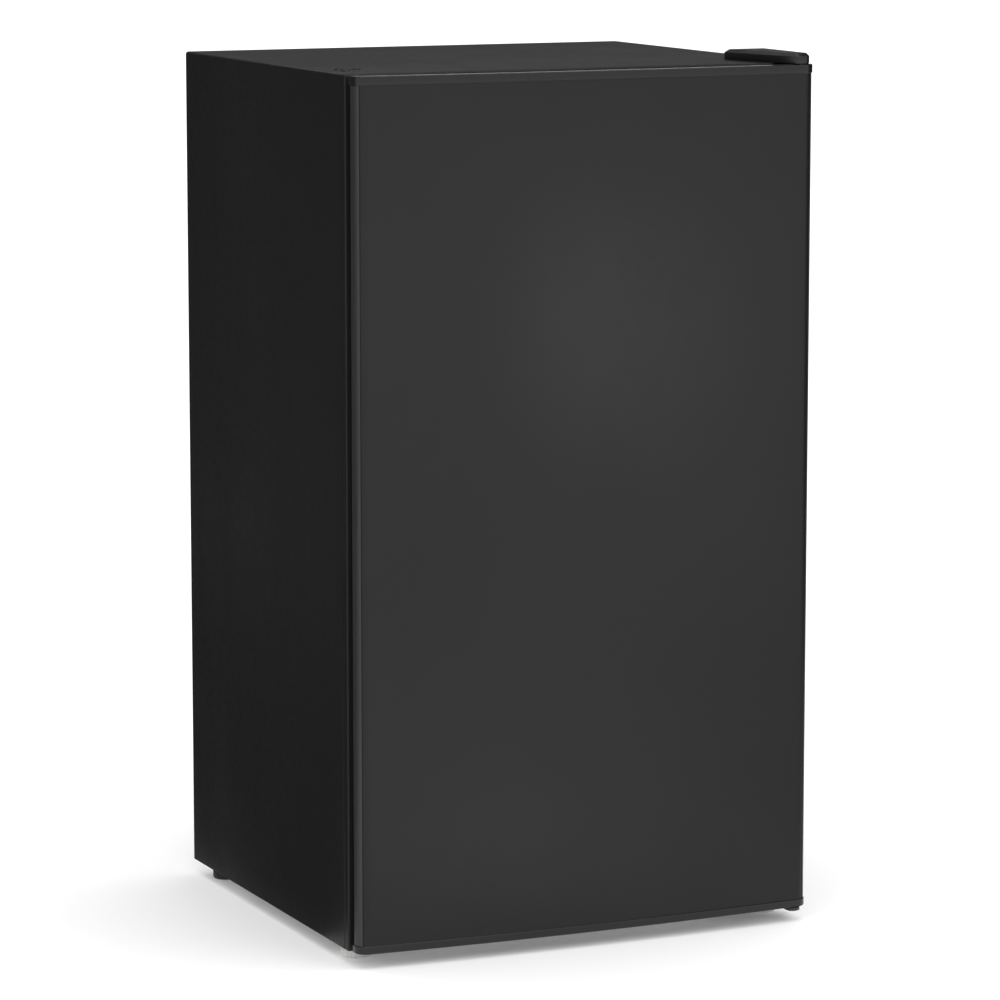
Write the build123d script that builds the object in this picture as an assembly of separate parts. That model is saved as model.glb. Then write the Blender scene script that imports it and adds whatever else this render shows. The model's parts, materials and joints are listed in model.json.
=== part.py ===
from build123d import *
import math
import os

# A compact single-door refrigerator. X runs to its right, -Y to its front and +Z up, with the
# origin on the floor under the middle of its box. Millimetres. A depth "s" is measured forward
# from the outer face of the rear panel, so that the cabinet reads from back to front.

# ---- Cabinet -----------------------------------------------------------------------------
cabinet_width = 472.0
cabinet_height = 814.0
cabinet_depth = 410.0
foot_height = 14.0
sheet = 0.8
top_edge_radius = 3.0
front_edge_radius = 1.2
front_flange = 15.0
rear_flange = 11.0
bead_setback = 8.0
bead_width = 1.6
bead_depth = 0.35
past = 9.0

# ---- Insulated walls and cavity ------------------------------------------------------------
side_wall = 36.0
roof_wall = 38.0
floor_wall = 44.0
back_wall = 42.0
step_wall = 30.0
liner = 1.5
lip_gap = 0.8
cavity_corner = 12.0
base_lift = 12.0
compartment_depth = 140.0
compartment_height = 192.0
rib_reach = 7.5
rib_height = 6.0
rib_back = 12.0

# ---- Door ------------------------------------------------------------------------------------
door_gap = 8.0
door_edge = 13.7
door_bow = 8.5
door_corner = 10.6
door_side_inset = 1.0
door_top_drop = 0.5
door_bottom_lift = 0.5
cap_proud = 1.0
cap_front_proud = 0.4
top_cap_height = 9.0
bottom_cap_height = 8.0
cap_wall = 2.2
cap_edge_radius = 1.5
skin_return = 9.0
skin_setback = 2.0
edge_seam_radius = 0.5
edge_seam_turn = 35.0
plug_depth = 14.0
plug_gap = 8.0
dyke_width = 12.0
dyke_reach = 32.0
dyke_end_gap = 6.0
dyke_foot_gap = 8.0
dyke_head_gap = 100.0
plug_corner = 14.0
lug_drop = 12.0
lug_height = 8.0
bulb_inset = 2.5
bulb_wall = 1.5
gasket_width = 16.0
gasket_inset = 17.0
gasket_gap = 0.3
gasket_foot = 2.0
door_liner_sheet = 1.5

# ---- Hinges ----------------------------------------------------------------------------------
hinge_side_inset = 14.0
hinge_setback = 8.0
pin_radius = 2.5
pin_clearance = 0.05
bush_wall = 1.4
bush_length = 14.0
plate_thickness = 3.0
pin_reach = 13.0
screw_radius = 2.0
screw_head_radius = 4.2
screw_head_height = 1.6
screw_length = 9.0
cover_height = 9.8
cover_wall = 1.5
cover_chamfer = 3.0
cover_back_left = 50.0
cover_right_gap = 6.0
cover_length_back = 72.0
cover_nose_margin = 5.4
cover_corner = 5.0
cover_nose_inner = 8.0
cover_nose_slope = 11.0
cover_nose_outer = 17.0
cover_plate_gap = 0.6
screw_setback = 64.0
screw_pitch = 17.0
screw_side_inset = 21.0
screw_inner_inset = 37.5
screw_stagger = 2.5
rivet_radius = 4.2
rivet_height = 1.2
slot_half = 2.6
slot_width = 1.0
slot_depth = 0.6
plug_head_radius = 4.0
plug_head_height = 1.2
plug_length = 3.5
bracket_setback = 30.0
bracket_width = 80.0
bracket_screw_inset = 60.0
bracket_screw_pitch = 18.0

# ---- Compressor compartment ----------------------------------------------------------------
tray_sheet = 2.0
tray_flange = 20.0
tray_depth = 124.0
compressor_radius = 54.0
compressor_height = 138.0
compressor_wall = 3.0
compressor_dome = 30.0
compressor_x = -24.0
compressor_depth = 70.0
grommet_height = 11.0
grommet_radius = 9.0
feet_plate_sheet = 2.5
feet_spread_x = 150.0
feet_spread_s = 80.0
tube_radius = 3.0
pan_wall = 1.6
pan_width = 132.0
pan_height = 22.0
pan_back = 18.0
seam_height = 5.0
seam_reach = 2.4
terminal_width = 40.0
terminal_height = 62.0
terminal_depth = 54.0
gland_inset = 46.0
gland_radius = 8.5
gland_bore = 4.0
tray_back = 6.0
rear_foot_s = 34.0
drier_clearance = 42.0
drier_s = 46.0
drier_height = 94.0

# ---- Condenser ---------------------------------------------------------------------------------
condenser_standoff = 20.0
condenser_tube_radius = 2.4
condenser_runs = 11
condenser_margin = 34.0
wire_radius = 0.8
wire_count = 31
wire_overhang = 9.0

# ---- Freezer box, shelves, bins and drawer ---------------------------------------------------
freezer_width = 290.0
freezer_height = 106.0
freezer_depth = 228.0
freezer_wall = 1.6
freezer_side_gap = 9.0
freezer_hang = 8.0
frame_rim = 9.0
frame_depth = 6.0
frame_overlap = 3.0
rail_ledge = 1.6
flap_thickness = 4.0
flap_pin_radius = 1.6
tray_depth_below = 14.0
shelf_glass = 4.0
shelf_side_gap = 2.0
shelf_front_gap = 100.0
slide_gap = 0.4
trim_inset = 3.0
trim_depth = 14.0
trim_rise = 2.5
trim_drop = 3.0
shelf_shares = (0.424, 0.602)
spare_rib_shares = (0.342, 0.513)
bin_depth = 68.0
bin_wall = 2.0
bin_end_gap = 6.5
bin_shares = (0.022, 0.358, 0.602)
bin_heights = (118.0, 74.0, 74.0)
bin_rear_cut = 26.0
drawer_wall = 2.0
drawer_front_gap = 96.0
drawer_side_gap = 13.0
drawer_lid_gap = 6.0
grip_half = 70.0
grip_reach = 7.0
grip_height = 18.0
grip_wall = 4.0
flap_grip_half = 34.0
knob_radius = 17.0
knob_length = 14.0
spindle_radius = 3.0
thermostat_width = 78.0
thermostat_depth = 92.0
thermostat_height = 62.0

# ---- Feet --------------------------------------------------------------------------------------
foot_radius = 15.0
foot_pad = 9.0
foot_stud_radius = 4.0
foot_stud_length = 11.0
foot_side_inset = 22.0
foot_front_inset = 34.0
foot_clearance = 0.4
crossmember_sheet = 1.5
crossmember_depth = 58.0

# ---- Derived places ----------------------------------------------------------------------------
half_width = cabinet_width / 2
z_bottom = foot_height
z_top = z_bottom + cabinet_height
door_rear = cabinet_depth + door_gap
door_front_edge = door_rear + door_edge
front_reach = door_front_edge + door_bow + cap_front_proud
rear_y = (front_reach - condenser_standoff) / 2

inner_half = half_width - sheet
cavity_half = half_width - side_wall
cavity_floor = z_bottom + floor_wall
cavity_roof = z_top - roof_wall
step_front = compartment_depth + sheet + step_wall
step_top = z_bottom + compartment_height + sheet + step_wall

cap_half = half_width - door_side_inset
skin_half = cap_half - cap_proud
door_bottom = z_bottom + door_bottom_lift
door_top = z_top - door_top_drop
skin_bottom = door_bottom + bottom_cap_height
skin_top = door_top - top_cap_height
plug_half = cavity_half - plug_gap
plug_back = door_rear - plug_depth
plug_bottom = cavity_floor + plug_gap
plug_top = cavity_roof - plug_gap
dyke_half = plug_half - dyke_end_gap + dyke_width / 3
dyke_inner = dyke_half - dyke_width
dyke_back = plug_back - dyke_reach

hinge_x = half_width - hinge_side_inset
hinge_s = door_rear + hinge_setback
cover_nose = hinge_s + cover_nose_margin + cover_wall
cavity_height = cavity_roof - cavity_floor
shelf_levels = [share * cavity_height for share in shelf_shares]
spare_rib_levels = [share * cavity_height for share in spare_rib_shares]
bin_levels = [share * cavity_height for share in bin_shares]
shelf_half = cavity_half - shelf_side_gap
shelf_front = cabinet_depth - shelf_front_gap
shelf_back = back_wall + slide_gap
crisper_level = step_top + cavity_corner - cavity_floor
freezer_left = -cavity_half + freezer_side_gap
freezer_right = freezer_left + freezer_width
freezer_top = cavity_roof - freezer_hang
freezer_bottom = freezer_top - freezer_height
freezer_back = back_wall + 16.0
freezer_front = freezer_back + freezer_depth
flap_axis_s = freezer_front + frame_depth + flap_thickness / 2 + slide_gap
flap_axis_z = freezer_top - frame_rim / 2
flap_top = flap_axis_z + flap_thickness / 2
flap_bottom = freezer_bottom + 1.0
flap_left = freezer_left + frame_rim / 2
flap_right = freezer_right - frame_rim / 2
bin_half = dyke_inner - bin_end_gap
bin_front = plug_back - slide_gap
bin_back = bin_front - bin_depth
drawer_front = cabinet_depth - drawer_front_gap
drawer_back = step_front + 8.0
drawer_top = cavity_floor + crisper_level - drawer_lid_gap
knob_x = cavity_half - thermostat_width / 2 - 4.0
knob_z = cavity_roof - thermostat_height / 2 - 4.0
knob_s = back_wall + liner + thermostat_depth
foot_x = half_width - foot_side_inset
foot_s = cabinet_depth - foot_front_inset


# ---- Shape helpers -----------------------------------------------------------------------------
def front(s):
    """Y of the plane that lies s in front of the rear panel's outer face."""
    return rear_y - s


def block(x0, x1, s0, s1, z0, z1):
    """Box between two widths, two depths and two heights."""
    centre = Pos((x0 + x1) / 2, front((s0 + s1) / 2), (z0 + z1) / 2)
    return centre * Box(x1 - x0, s1 - s0, z1 - z0)


def rounded_block(x0, x1, s0, s1, z0, z1, radius, axis):
    """Box whose edges along one axis are rounded."""
    box = block(x0, x1, s0, s1, z0, z1)
    return fillet(box.edges().filter_by(axis), radius)


def plan_prism(points, z0, z1):
    """Prism of an outline of (x, s) points, from height z0 up to z1."""
    face = make_face(Polyline([(x, front(s), z0) for x, s in points], close=True))
    return extrude(face, amount=z1 - z0, dir=(0, 0, 1))


def side_prism(points, x0, x1):
    """Prism of an outline of (s, z) points, from width x0 across to x1."""
    face = make_face(Polyline([(x0, front(s), z) for s, z in points], close=True))
    return extrude(face, amount=x1 - x0, dir=(1, 0, 0))


def upright(x, s, z0, z1, radius):
    """Round bar standing from z0 to z1."""
    return Pos(x, front(s), (z0 + z1) / 2) * Cylinder(radius, z1 - z0)


def ring(x, s, z0, z1, outer, inner):
    """Round sleeve standing from z0 to z1."""
    return upright(x, s, z0, z1, outer) - upright(x, s, z0, z1, inner)


def fore_bar(x, z, s0, s1, radius):
    """Round bar lying along the depth, from s0 forward to s1."""
    return Pos(x, front((s0 + s1) / 2), z) * Rot(90, 0, 0) * Cylinder(radius, s1 - s0)


def cross_bar(s, z, x0, x1, radius):
    """Round bar lying across the width, from x0 to x1."""
    return Pos((x0 + x1) / 2, front(s), z) * Rot(0, 90, 0) * Cylinder(radius, x1 - x0)


def pipe(points, radius, bend):
    """Round pipe along straight runs joined by arcs of one bend radius."""
    places = [(x, front(s), z) for x, s, z in points]
    path = FilletPolyline(*places, radius=bend)
    start = Plane(origin=path @ 0, z_dir=path % 0)
    return sweep(start * Circle(radius), path=path)


def screw_down(x, s, z, length):
    """Pan-head screw driven down, its head resting on the plane z."""
    head = upright(x, s, z, z + screw_head_height, screw_head_radius)
    top_rim = head.edges().filter_by(GeomType.CIRCLE).sort_by(Axis.Z)[-1]
    head = fillet(top_rim, screw_head_height * 0.6)
    low = z + screw_head_height - slot_depth
    half = slot_width / 2
    slot = block(x - slot_half, x + slot_half, s - half, s + half, low, z + past)
    cross = block(x - half, x + half, s - slot_half, s + slot_half, low, z + past)
    return head + upright(x, s, z - length, z, screw_radius) - slot - cross


def screw_up(x, s, z, length):
    """Pan-head screw driven up, its head hanging below the plane z."""
    head = upright(x, s, z - screw_head_height, z, screw_head_radius)
    return head + upright(x, s, z, z + length, screw_radius)


def write(shape, node):
    """Write one node's solids."""
    export_step(shape, f"parts/{node}.step")


# ---- Cabinet pieces ----------------------------------------------------------------------------
def hinge_screw_places():
    """Centres of the three top hinge screws on the right, mirrored for the spare holes."""
    back = cabinet_depth - screw_setback
    outer = half_width - screw_side_inset
    inner = half_width - screw_inner_inset
    return [(outer, back), (outer, back + screw_pitch), (inner, back + screw_stagger)]


def make_outer_shell():
    """Painted sheet wrapped over both sides and the top, with folded front and rear flanges."""
    outer = block(-half_width, half_width, 0, cabinet_depth, z_bottom, z_top)
    long_edges = outer.edges().filter_by(Axis.Y).group_by(Axis.Z)[-1]
    outer = fillet(long_edges, top_edge_radius)
    rim = outer.faces().sort_by(Axis.Y)[0].edges() - outer.edges().group_by(Axis.Z)[0]
    outer = fillet(rim, front_edge_radius)
    inner = block(-inner_half, inner_half, sheet, cabinet_depth - sheet, z_bottom - 1, z_top - sheet)
    inner = fillet(inner.edges().filter_by(Axis.Y).group_by(Axis.Z)[-1], top_edge_radius - sheet)
    mouth_half = inner_half - front_flange
    mouth = block(-mouth_half, mouth_half, cabinet_depth - past, cabinet_depth + past,
                  z_bottom - 1, z_top - sheet - front_flange)
    back_half = inner_half - rear_flange
    back = block(-back_half, back_half, -past, past, z_bottom - 1, z_top - sheet - rear_flange)
    recess = block(-inner_half, inner_half, -1, sheet, z_bottom - 1, z_top - sheet)
    recess = fillet(recess.edges().filter_by(Axis.Y).group_by(Axis.Z)[-1],
                    top_edge_radius - sheet)
    rear_fold = block(-inner_half, inner_half, sheet, 2 * sheet, z_bottom, z_top - sheet)
    rear_fold = fillet(rear_fold.edges().filter_by(Axis.Y).group_by(Axis.Z)[-1],
                       top_edge_radius - sheet)
    shell = outer - inner - mouth - recess + (rear_fold - back)
    bead_front = cabinet_depth - bead_setback
    groove = block(-half_width - 1, half_width + 1, bead_front - bead_width, bead_front,
                   z_bottom - 1, z_top + 1)
    core = block(-half_width + bead_depth, half_width - bead_depth, 0, cabinet_depth,
                 z_bottom - 2, z_top - bead_depth)
    core = fillet(core.edges().filter_by(Axis.Y).group_by(Axis.Z)[-1], top_edge_radius - bead_depth)
    shell -= groove - core
    for x, s in hinge_screw_places():
        shell -= upright(x, s, z_top - 2, z_top + 2, screw_radius)
        shell -= upright(-x, s, z_top - 2, z_top + 2, screw_radius)
    return shell


def make_rear_panel():
    """Flat steel back, from the compartment roof up, lying in the shell's rear recess."""
    foot = z_bottom + compartment_height
    panel = block(-inner_half, inner_half, 0, sheet, foot, z_top - sheet)
    corners = panel.edges().filter_by(Axis.Y).group_by(Axis.Z)[-1]
    return fillet(corners, top_edge_radius - sheet)


def base_outline(offset):
    """Underside of the insulated body, as (s, z) points, from the rear panel to the front."""
    roof = z_bottom + compartment_height + offset
    floor = z_bottom + base_lift + offset
    return roof, floor, compartment_depth + offset


def make_base_pan():
    """Folded steel sheet under the foam: compartment roof, riser and floor."""
    roof, floor, riser = base_outline(0)
    roof2, floor2, riser2 = base_outline(sheet)
    tail = 2 * sheet
    nose = cabinet_depth - sheet
    points = [(tail, roof), (riser, roof), (riser, floor), (nose, floor), (nose, floor2),
              (riser2, floor2), (riser2, roof2), (tail, roof2)]
    return side_prism(points, -inner_half, inner_half)


def cavity_solid(grow):
    """Room inside the liner, grown outward on every wall but the open front."""
    low = cavity_floor - grow
    step_z = step_top - grow
    step_s = step_front - grow
    back = back_wall - grow
    points = [(back, cavity_roof + grow), (back, step_z), (step_s, step_z), (step_s, low),
              (cabinet_depth + 2, low), (cabinet_depth + 2, cavity_roof + grow)]
    room = side_prism(points, -cavity_half - grow, cavity_half + grow)
    deep = room.edges().filter_by(Axis.Y)
    return fillet(deep, cavity_corner + grow)


def rib_rows():
    """Heights of the tops of the shelf ribs above the cavity floor."""
    return [crisper_level, *shelf_levels, *spare_rib_levels]


def make_inner_liner():
    """White moulded liner: five walls, the step over the compressor and the shelf ribs."""
    tub = cavity_solid(liner) - cavity_solid(0)
    tub &= block(-half_width, half_width, 0, cabinet_depth - sheet, z_bottom, z_top)
    lip_half = inner_half - lip_gap
    lip = block(-lip_half, lip_half, cabinet_depth - sheet - liner, cabinet_depth - sheet,
                z_bottom + base_lift + sheet, z_top - sheet - lip_gap)
    tub += lip - cavity_solid(0)
    for level in rib_rows():
        top = cavity_floor + level
        for side in (-1, 1):
            inner = side * (cavity_half - rib_reach)
            outer = side * (cavity_half + liner / 2)
            rib = block(min(inner, outer), max(inner, outer), back_wall + rib_back,
                        shelf_front - 6.0, top - rib_height, top)
            inner_edges = rib.edges().filter_by(Axis.Z).sort_by(lambda e: abs(e.center().X))[:2]
            tub += fillet(inner_edges, 3.0) & cavity_solid(liner)
    return tub


def make_cabinet_foam():
    """Foam that fills the walls between the liner and the steel."""
    roof, floor, riser = base_outline(sheet)
    nose = cabinet_depth - sheet - liner
    crown = z_top - sheet
    points = [(sheet * 2, crown), (sheet * 2, roof), (riser, roof), (riser, floor),
              (nose, floor), (nose, crown)]
    body = side_prism(points, -inner_half, inner_half)
    body = fillet(body.edges().filter_by(Axis.Y).group_by(Axis.Z)[-1], top_edge_radius - sheet)
    for x, s in hinge_screw_places():
        body -= upright(x, s, z_top - screw_length, z_top, screw_radius)
        body -= upright(-x, s, z_top - plug_length, z_top, screw_radius)
    return body - cavity_solid(liner)


def make_crossmember():
    """Folded strip under the front of the floor, which carries the feet and the lower hinge."""
    nose = cabinet_depth - sheet
    back = nose - crossmember_depth
    t = crossmember_sheet
    top = z_bottom + base_lift
    points = [(nose, z_bottom), (nose, top), (nose - t, top), (nose - t, z_bottom + t),
              (back + t, z_bottom + t), (back + t, top), (back, top), (back, z_bottom)]
    member = side_prism(points, -inner_half, inner_half)
    for side in (-1, 1):
        member -= upright(side * foot_x, foot_s, z_bottom - 1, z_bottom + 4,
                          foot_stud_radius + foot_clearance)
    for x, s in bottom_screw_places():
        member -= upright(x, s, z_bottom - 1, z_bottom + 4, screw_radius)
    return member


def make_compressor_tray():
    """Steel tray across the back of the base, with a turned-up edge front and rear."""
    t = tray_sheet
    back, nose = tray_back, tray_back + tray_depth
    points = [(back, z_bottom), (nose, z_bottom), (nose, z_bottom + tray_flange),
              (nose - t, z_bottom + tray_flange), (nose - t, z_bottom + t), (back + t, z_bottom + t),
              (back + t, z_bottom + tray_flange), (back, z_bottom + tray_flange)]
    tray = side_prism(points, -inner_half, inner_half)
    for x, s in compressor_foot_places():
        tray -= upright(x, s, z_bottom - 1, z_bottom + 4, screw_radius)
    gx, gz = gland_place()
    return tray - fore_bar(gx, gz, back - t, back + 2 * t, gland_radius - t)


def gland_place():
    """Centre of the mains lead's inlet, on the tray's rear edge."""
    return half_width - gland_inset, z_bottom + tray_flange / 2 + 1.0


def make_cord_gland():
    """Round plastic inlet that the mains lead passes through."""
    x, z = gland_place()
    back = tray_back
    flange = fore_bar(x, z, back - 2.5, back, gland_radius)
    neck = fore_bar(x, z, back, back + tray_sheet + 3.0, gland_radius - tray_sheet)
    return flange + neck - fore_bar(x, z, back - past, back + past, gland_bore)


def make_rear_feet():
    """Two fixed plastic glides under the rear corners of the tray."""
    glides = []
    for side in (-1, 1):
        pad = upright(side * foot_x, rear_foot_s, 0, z_bottom, foot_radius * 0.9)
        lower = pad.edges().filter_by(GeomType.CIRCLE).sort_by(Axis.Z)[0]
        glides.append(fillet(lower, 2.0))
    return Compound(children=glides)


def make_front_foot(side):
    """Levelling foot: a broad ribbed pad on a threaded stud, screwed into the crossmember."""
    x = side * foot_x
    pad = upright(x, foot_s, 0, foot_pad, foot_radius)
    rims = pad.edges().filter_by(GeomType.CIRCLE)
    pad = fillet(rims, 1.6)
    shoulder = z_bottom - foot_clearance
    neck = upright(x, foot_s, foot_pad, shoulder, foot_radius * 0.62)
    stud = upright(x, foot_s, shoulder, shoulder + foot_stud_length, foot_stud_radius)
    return pad + neck + stud


def make_hole_plugs():
    """Plugs in the three spare hinge holes, on the side away from the hinge."""
    plugs = []
    for x, s in hinge_screw_places():
        head = upright(-x, s, z_top, z_top + plug_head_height, plug_head_radius)
        rim = head.edges().filter_by(GeomType.CIRCLE).sort_by(Axis.Z)[-1]
        head = fillet(rim, plug_head_height * 0.75)
        plugs.append(head + upright(-x, s, z_top - plug_length, z_top, screw_radius))
    return Compound(children=plugs)


# ---- Hinges --------------------------------------------------------------------------------------
def cover_outline():
    """Plan of the hinge cover, widest at the back and drawn in round the hinge pin."""
    right = half_width - cover_right_gap
    back = cabinet_depth - cover_length_back
    return [(half_width - cover_back_left, back), (right, back),
            (right, cover_nose - cover_corner), (right - cover_corner, cover_nose),
            (hinge_x - cover_nose_inner, cover_nose),
            (hinge_x - cover_nose_outer, cover_nose - cover_nose_slope)]


def inset_outline(inset):
    """The hinge cover's plan, drawn in on every side, as a face on the cabinet's top."""
    outline = Polyline([(x, front(s), z_top) for x, s in cover_outline()], close=True)
    return offset(make_face(outline), amount=-inset, kind=Kind.INTERSECTION)


def make_top_hinge_plate():
    """Steel plate screwed to the cabinet's top, reaching over the door."""
    plan = inset_outline(cover_wall + cover_plate_gap)
    plate = extrude(plan, amount=plate_thickness, dir=(0, 0, 1))
    for x, s in hinge_screw_places():
        plate -= upright(x, s, z_top - 1, z_top + past, screw_radius)
    return plate - upright(hinge_x, hinge_s, z_top - 1, z_top + past, pin_radius)


def make_top_hinge_pin():
    """Steel pin riveted in the plate, standing down into the door's upper bush."""
    top = z_top + plate_thickness
    rivet = upright(hinge_x, hinge_s, top, top + rivet_height, rivet_radius)
    return rivet + upright(hinge_x, hinge_s, z_top - pin_reach, top, pin_radius)


def make_top_hinge_screws():
    """Three screws through the plate into the cabinet's top."""
    return Compound(children=[screw_down(x, s, z_top + plate_thickness, screw_length)
                              for x, s in hinge_screw_places()])


def make_hinge_cover():
    """Moulded cover over the top hinge, hollow underneath, its upper edges chamfered."""
    solid = plan_prism(cover_outline(), z_top, z_top + cover_height)
    upper = solid.faces().sort_by(Axis.Z)[-1]
    body = chamfer(upper.edges(), cover_chamfer)
    inner = extrude(inset_outline(cover_wall), amount=cover_height - cover_wall, dir=(0, 0, 1))
    inner = chamfer(inner.faces().sort_by(Axis.Z)[-1].edges(), cover_chamfer * 0.75)
    return body - inner


def bottom_screw_places():
    """Centres of the two screws that hold the lower bracket."""
    nose = cabinet_depth - sheet
    x = half_width - bracket_screw_inset
    return [(x, nose - 16.0), (x - bracket_screw_pitch, nose - 16.0)]


def make_bottom_bracket():
    """Steel bracket under the crossmember, with its nose under the door."""
    t = plate_thickness
    back = cabinet_depth - bracket_setback
    arm = rivet_radius + 2.8
    right = half_width - hinge_side_inset + arm - 1.0
    left = right - bracket_width
    points = [(left, back), (left + 42.0, back), (right, back + 16.0), (right, hinge_s),
              (hinge_x - arm, hinge_s), (hinge_x - arm, cabinet_depth),
              (left, cabinet_depth - 8.0)]
    plate = plan_prism(points, z_bottom - t, z_bottom)
    plate += upright(hinge_x, hinge_s, z_bottom - t, z_bottom, arm)
    plate -= upright(foot_x, foot_s, z_bottom - past, z_bottom + 1, foot_radius + 1.0)
    for x, s in bottom_screw_places():
        plate -= upright(x, s, z_bottom - past, z_bottom + 1, screw_radius)
    return plate - upright(hinge_x, hinge_s, z_bottom - past, z_bottom + 1, pin_radius)


def make_bottom_hinge_pin():
    """Steel pin riveted in the bracket, standing up into the door's lower bush."""
    low = z_bottom - plate_thickness
    rivet = upright(hinge_x, hinge_s, low - rivet_height, low, rivet_radius)
    return rivet + upright(hinge_x, hinge_s, low, z_bottom + pin_reach, pin_radius)


def make_bottom_hinge_screws():
    """Two screws up through the bracket into the crossmember."""
    return Compound(children=[screw_up(x, s, z_bottom - plate_thickness, screw_length)
                              for x, s in bottom_screw_places()])


# ---- Door ------------------------------------------------------------------------------------
def door_plan(half, rear, proud, radius):
    """Face of the door's plan: straight back and sides, rounded front corners, bowed front."""
    edge = front(door_front_edge + proud)
    apex = front(door_front_edge + door_bow + proud)
    bow = ThreePointArc((-half, edge), (0, apex), (half, edge))
    back = Polyline((half, edge), (half, front(rear)), (-half, front(rear)), (-half, edge))
    face = make_face(bow + back)
    corners = face.vertices().sort_by(Axis.Y)[:2]
    return fillet(corners, radius)


def door_slab(half, rear, proud, radius, z0, z1):
    """Solid door-shaped slab between two heights."""
    return extrude(Pos(0, 0, z0) * door_plan(half, rear, proud, radius), amount=z1 - z0)


def edge_seam_place():
    """Where the right edge profile's seam runs up the door's rounded corner."""
    bow_radius = (skin_half ** 2 + door_bow ** 2) / (2 * door_bow)
    corner_x = skin_half - door_corner
    corner_s = (door_front_edge + door_bow - bow_radius
                + math.sqrt((bow_radius - door_corner) ** 2 - corner_x ** 2))
    turn = math.radians(edge_seam_turn)
    return corner_x + door_corner * math.sin(turn), corner_s + door_corner * math.cos(turn)


def make_door_skin():
    """Painted sheet wrapped round the bowed front and both sides, returned at the back."""
    rear = door_rear + skin_setback
    outer = door_slab(skin_half, rear, 0, door_corner, skin_bottom, skin_top)
    seam_x, seam_s = edge_seam_place()
    for side in (-1, 1):
        outer -= upright(side * seam_x, seam_s, skin_bottom - 1, skin_top + 1, edge_seam_radius)
    inner = door_slab(skin_half - sheet, rear + sheet, -sheet, door_corner - sheet,
                      skin_bottom - 1, skin_top + 1)
    opening_half = skin_half - skin_return
    opening = block(-opening_half, opening_half, rear - 2, rear + 3, skin_bottom - 1, skin_top + 1)
    return outer - inner - opening


def make_door_cap(z0, z1, up):
    """Moulded end cap: a shallow tray whose wall stands on the end of the skin."""
    slab = door_slab(cap_half, door_rear, cap_front_proud, door_corner, z0, z1)
    outer_z = z1 if up else z0
    faces = slab.faces().sort_by(Axis.Z)
    end = faces[-1] if up else faces[0]
    slab = fillet(end.edges(), cap_edge_radius)
    shift = -cap_wall if up else cap_wall
    lo, hi = (z0 - 1, outer_z + shift) if up else (outer_z + shift, z1 + 1)
    inner = door_slab(cap_half - cap_wall, door_rear + cap_wall, cap_front_proud - cap_wall,
                      door_corner - cap_wall, lo, hi)
    return slab - inner - upright(hinge_x, hinge_s, z0 - 1, z1 + 1, pin_radius + bush_wall)


def bush_ends():
    """Outer and inner end heights of the upper and the lower bush."""
    return [(door_top - bush_length, door_top), (door_bottom, door_bottom + bush_length)]


def make_door_bushes():
    """Plastic bushes that turn on the hinge pins."""
    bore = pin_radius + pin_clearance
    return Compound(children=[ring(hinge_x, hinge_s, z0, z1, pin_radius + bush_wall, bore)
                              for z0, z1 in bush_ends()])


def plug_solid(grow):
    """Raised middle of the door liner with its two upright dykes, grown outward."""
    core = rounded_block(-plug_half - grow, plug_half + grow, plug_back - grow, door_rear + 1,
                         plug_bottom - grow, plug_top + grow, plug_corner + grow, Axis.Y)
    for side in (-1, 1):
        inner = side * (dyke_inner - grow)
        outer = side * (dyke_half + grow)
        dyke = block(min(inner, outer), max(inner, outer), dyke_back - grow, door_rear + 1,
                     plug_bottom + dyke_foot_gap - grow, plug_top - dyke_head_gap + grow)
        tip = dyke.edges().filter_by(Axis.Z).group_by(Axis.Y)[-1]
        core += fillet(tip, 3.0 + grow)
    return core


def lug_rows():
    """Height of the top of each pair of bin lugs."""
    return [cavity_floor + level + height - lug_drop
            for level, height in zip(bin_levels, bin_heights)]


def make_door_liner():
    """White moulded inner door: a flange, the raised middle, the dykes and the bin lugs."""
    t = door_liner_sheet
    flange_half = skin_half - 2.0
    flange = block(-flange_half, flange_half, door_rear, door_rear + t,
                   skin_bottom + 0.5, skin_top - 0.5)
    for edge in (-skin_half, skin_half - skin_return):
        flange -= block(edge, edge + skin_return, door_rear - 1, door_rear + past, 0, z_top)
    shell = flange + (plug_solid(0) & block(-half_width, half_width, 0, door_rear + t, 0, z_top))
    shell -= plug_solid(-t) & block(-half_width, half_width, 0, door_rear + past, 0, z_top)
    shell -= block(-plug_half + t, plug_half - t, door_rear - 1, door_rear + past,
                   plug_bottom + t, plug_top - t)
    for top in lug_rows():
        for side in (-1, 1):
            root = side * (dyke_inner + t / 2)
            tip = side * (bin_half + 1.0)
            shell += block(min(root, tip), max(root, tip), bin_back + 14.0, bin_front - 12.0,
                           top - lug_height, top)
    return shell


def make_door_foam():
    """Foam inside the door, between the skin, the caps and the liner."""
    rear = door_rear + skin_setback + sheet
    body = door_slab(skin_half - sheet, rear, -sheet, door_corner - sheet, skin_bottom, skin_top)
    plug = plug_solid(-door_liner_sheet)
    neck_half = plug_half - dyke_end_gap
    neck = block(-neck_half, neck_half, door_rear - 1, rear + 1, plug_bottom + dyke_end_gap,
                 plug_top - dyke_end_gap)
    body += neck + (plug & block(-half_width, half_width, 0, door_rear, 0, z_top))
    for z0, z1 in bush_ends():
        body -= upright(hinge_x, hinge_s, z0, z1, pin_radius + bush_wall)
    return body


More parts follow.
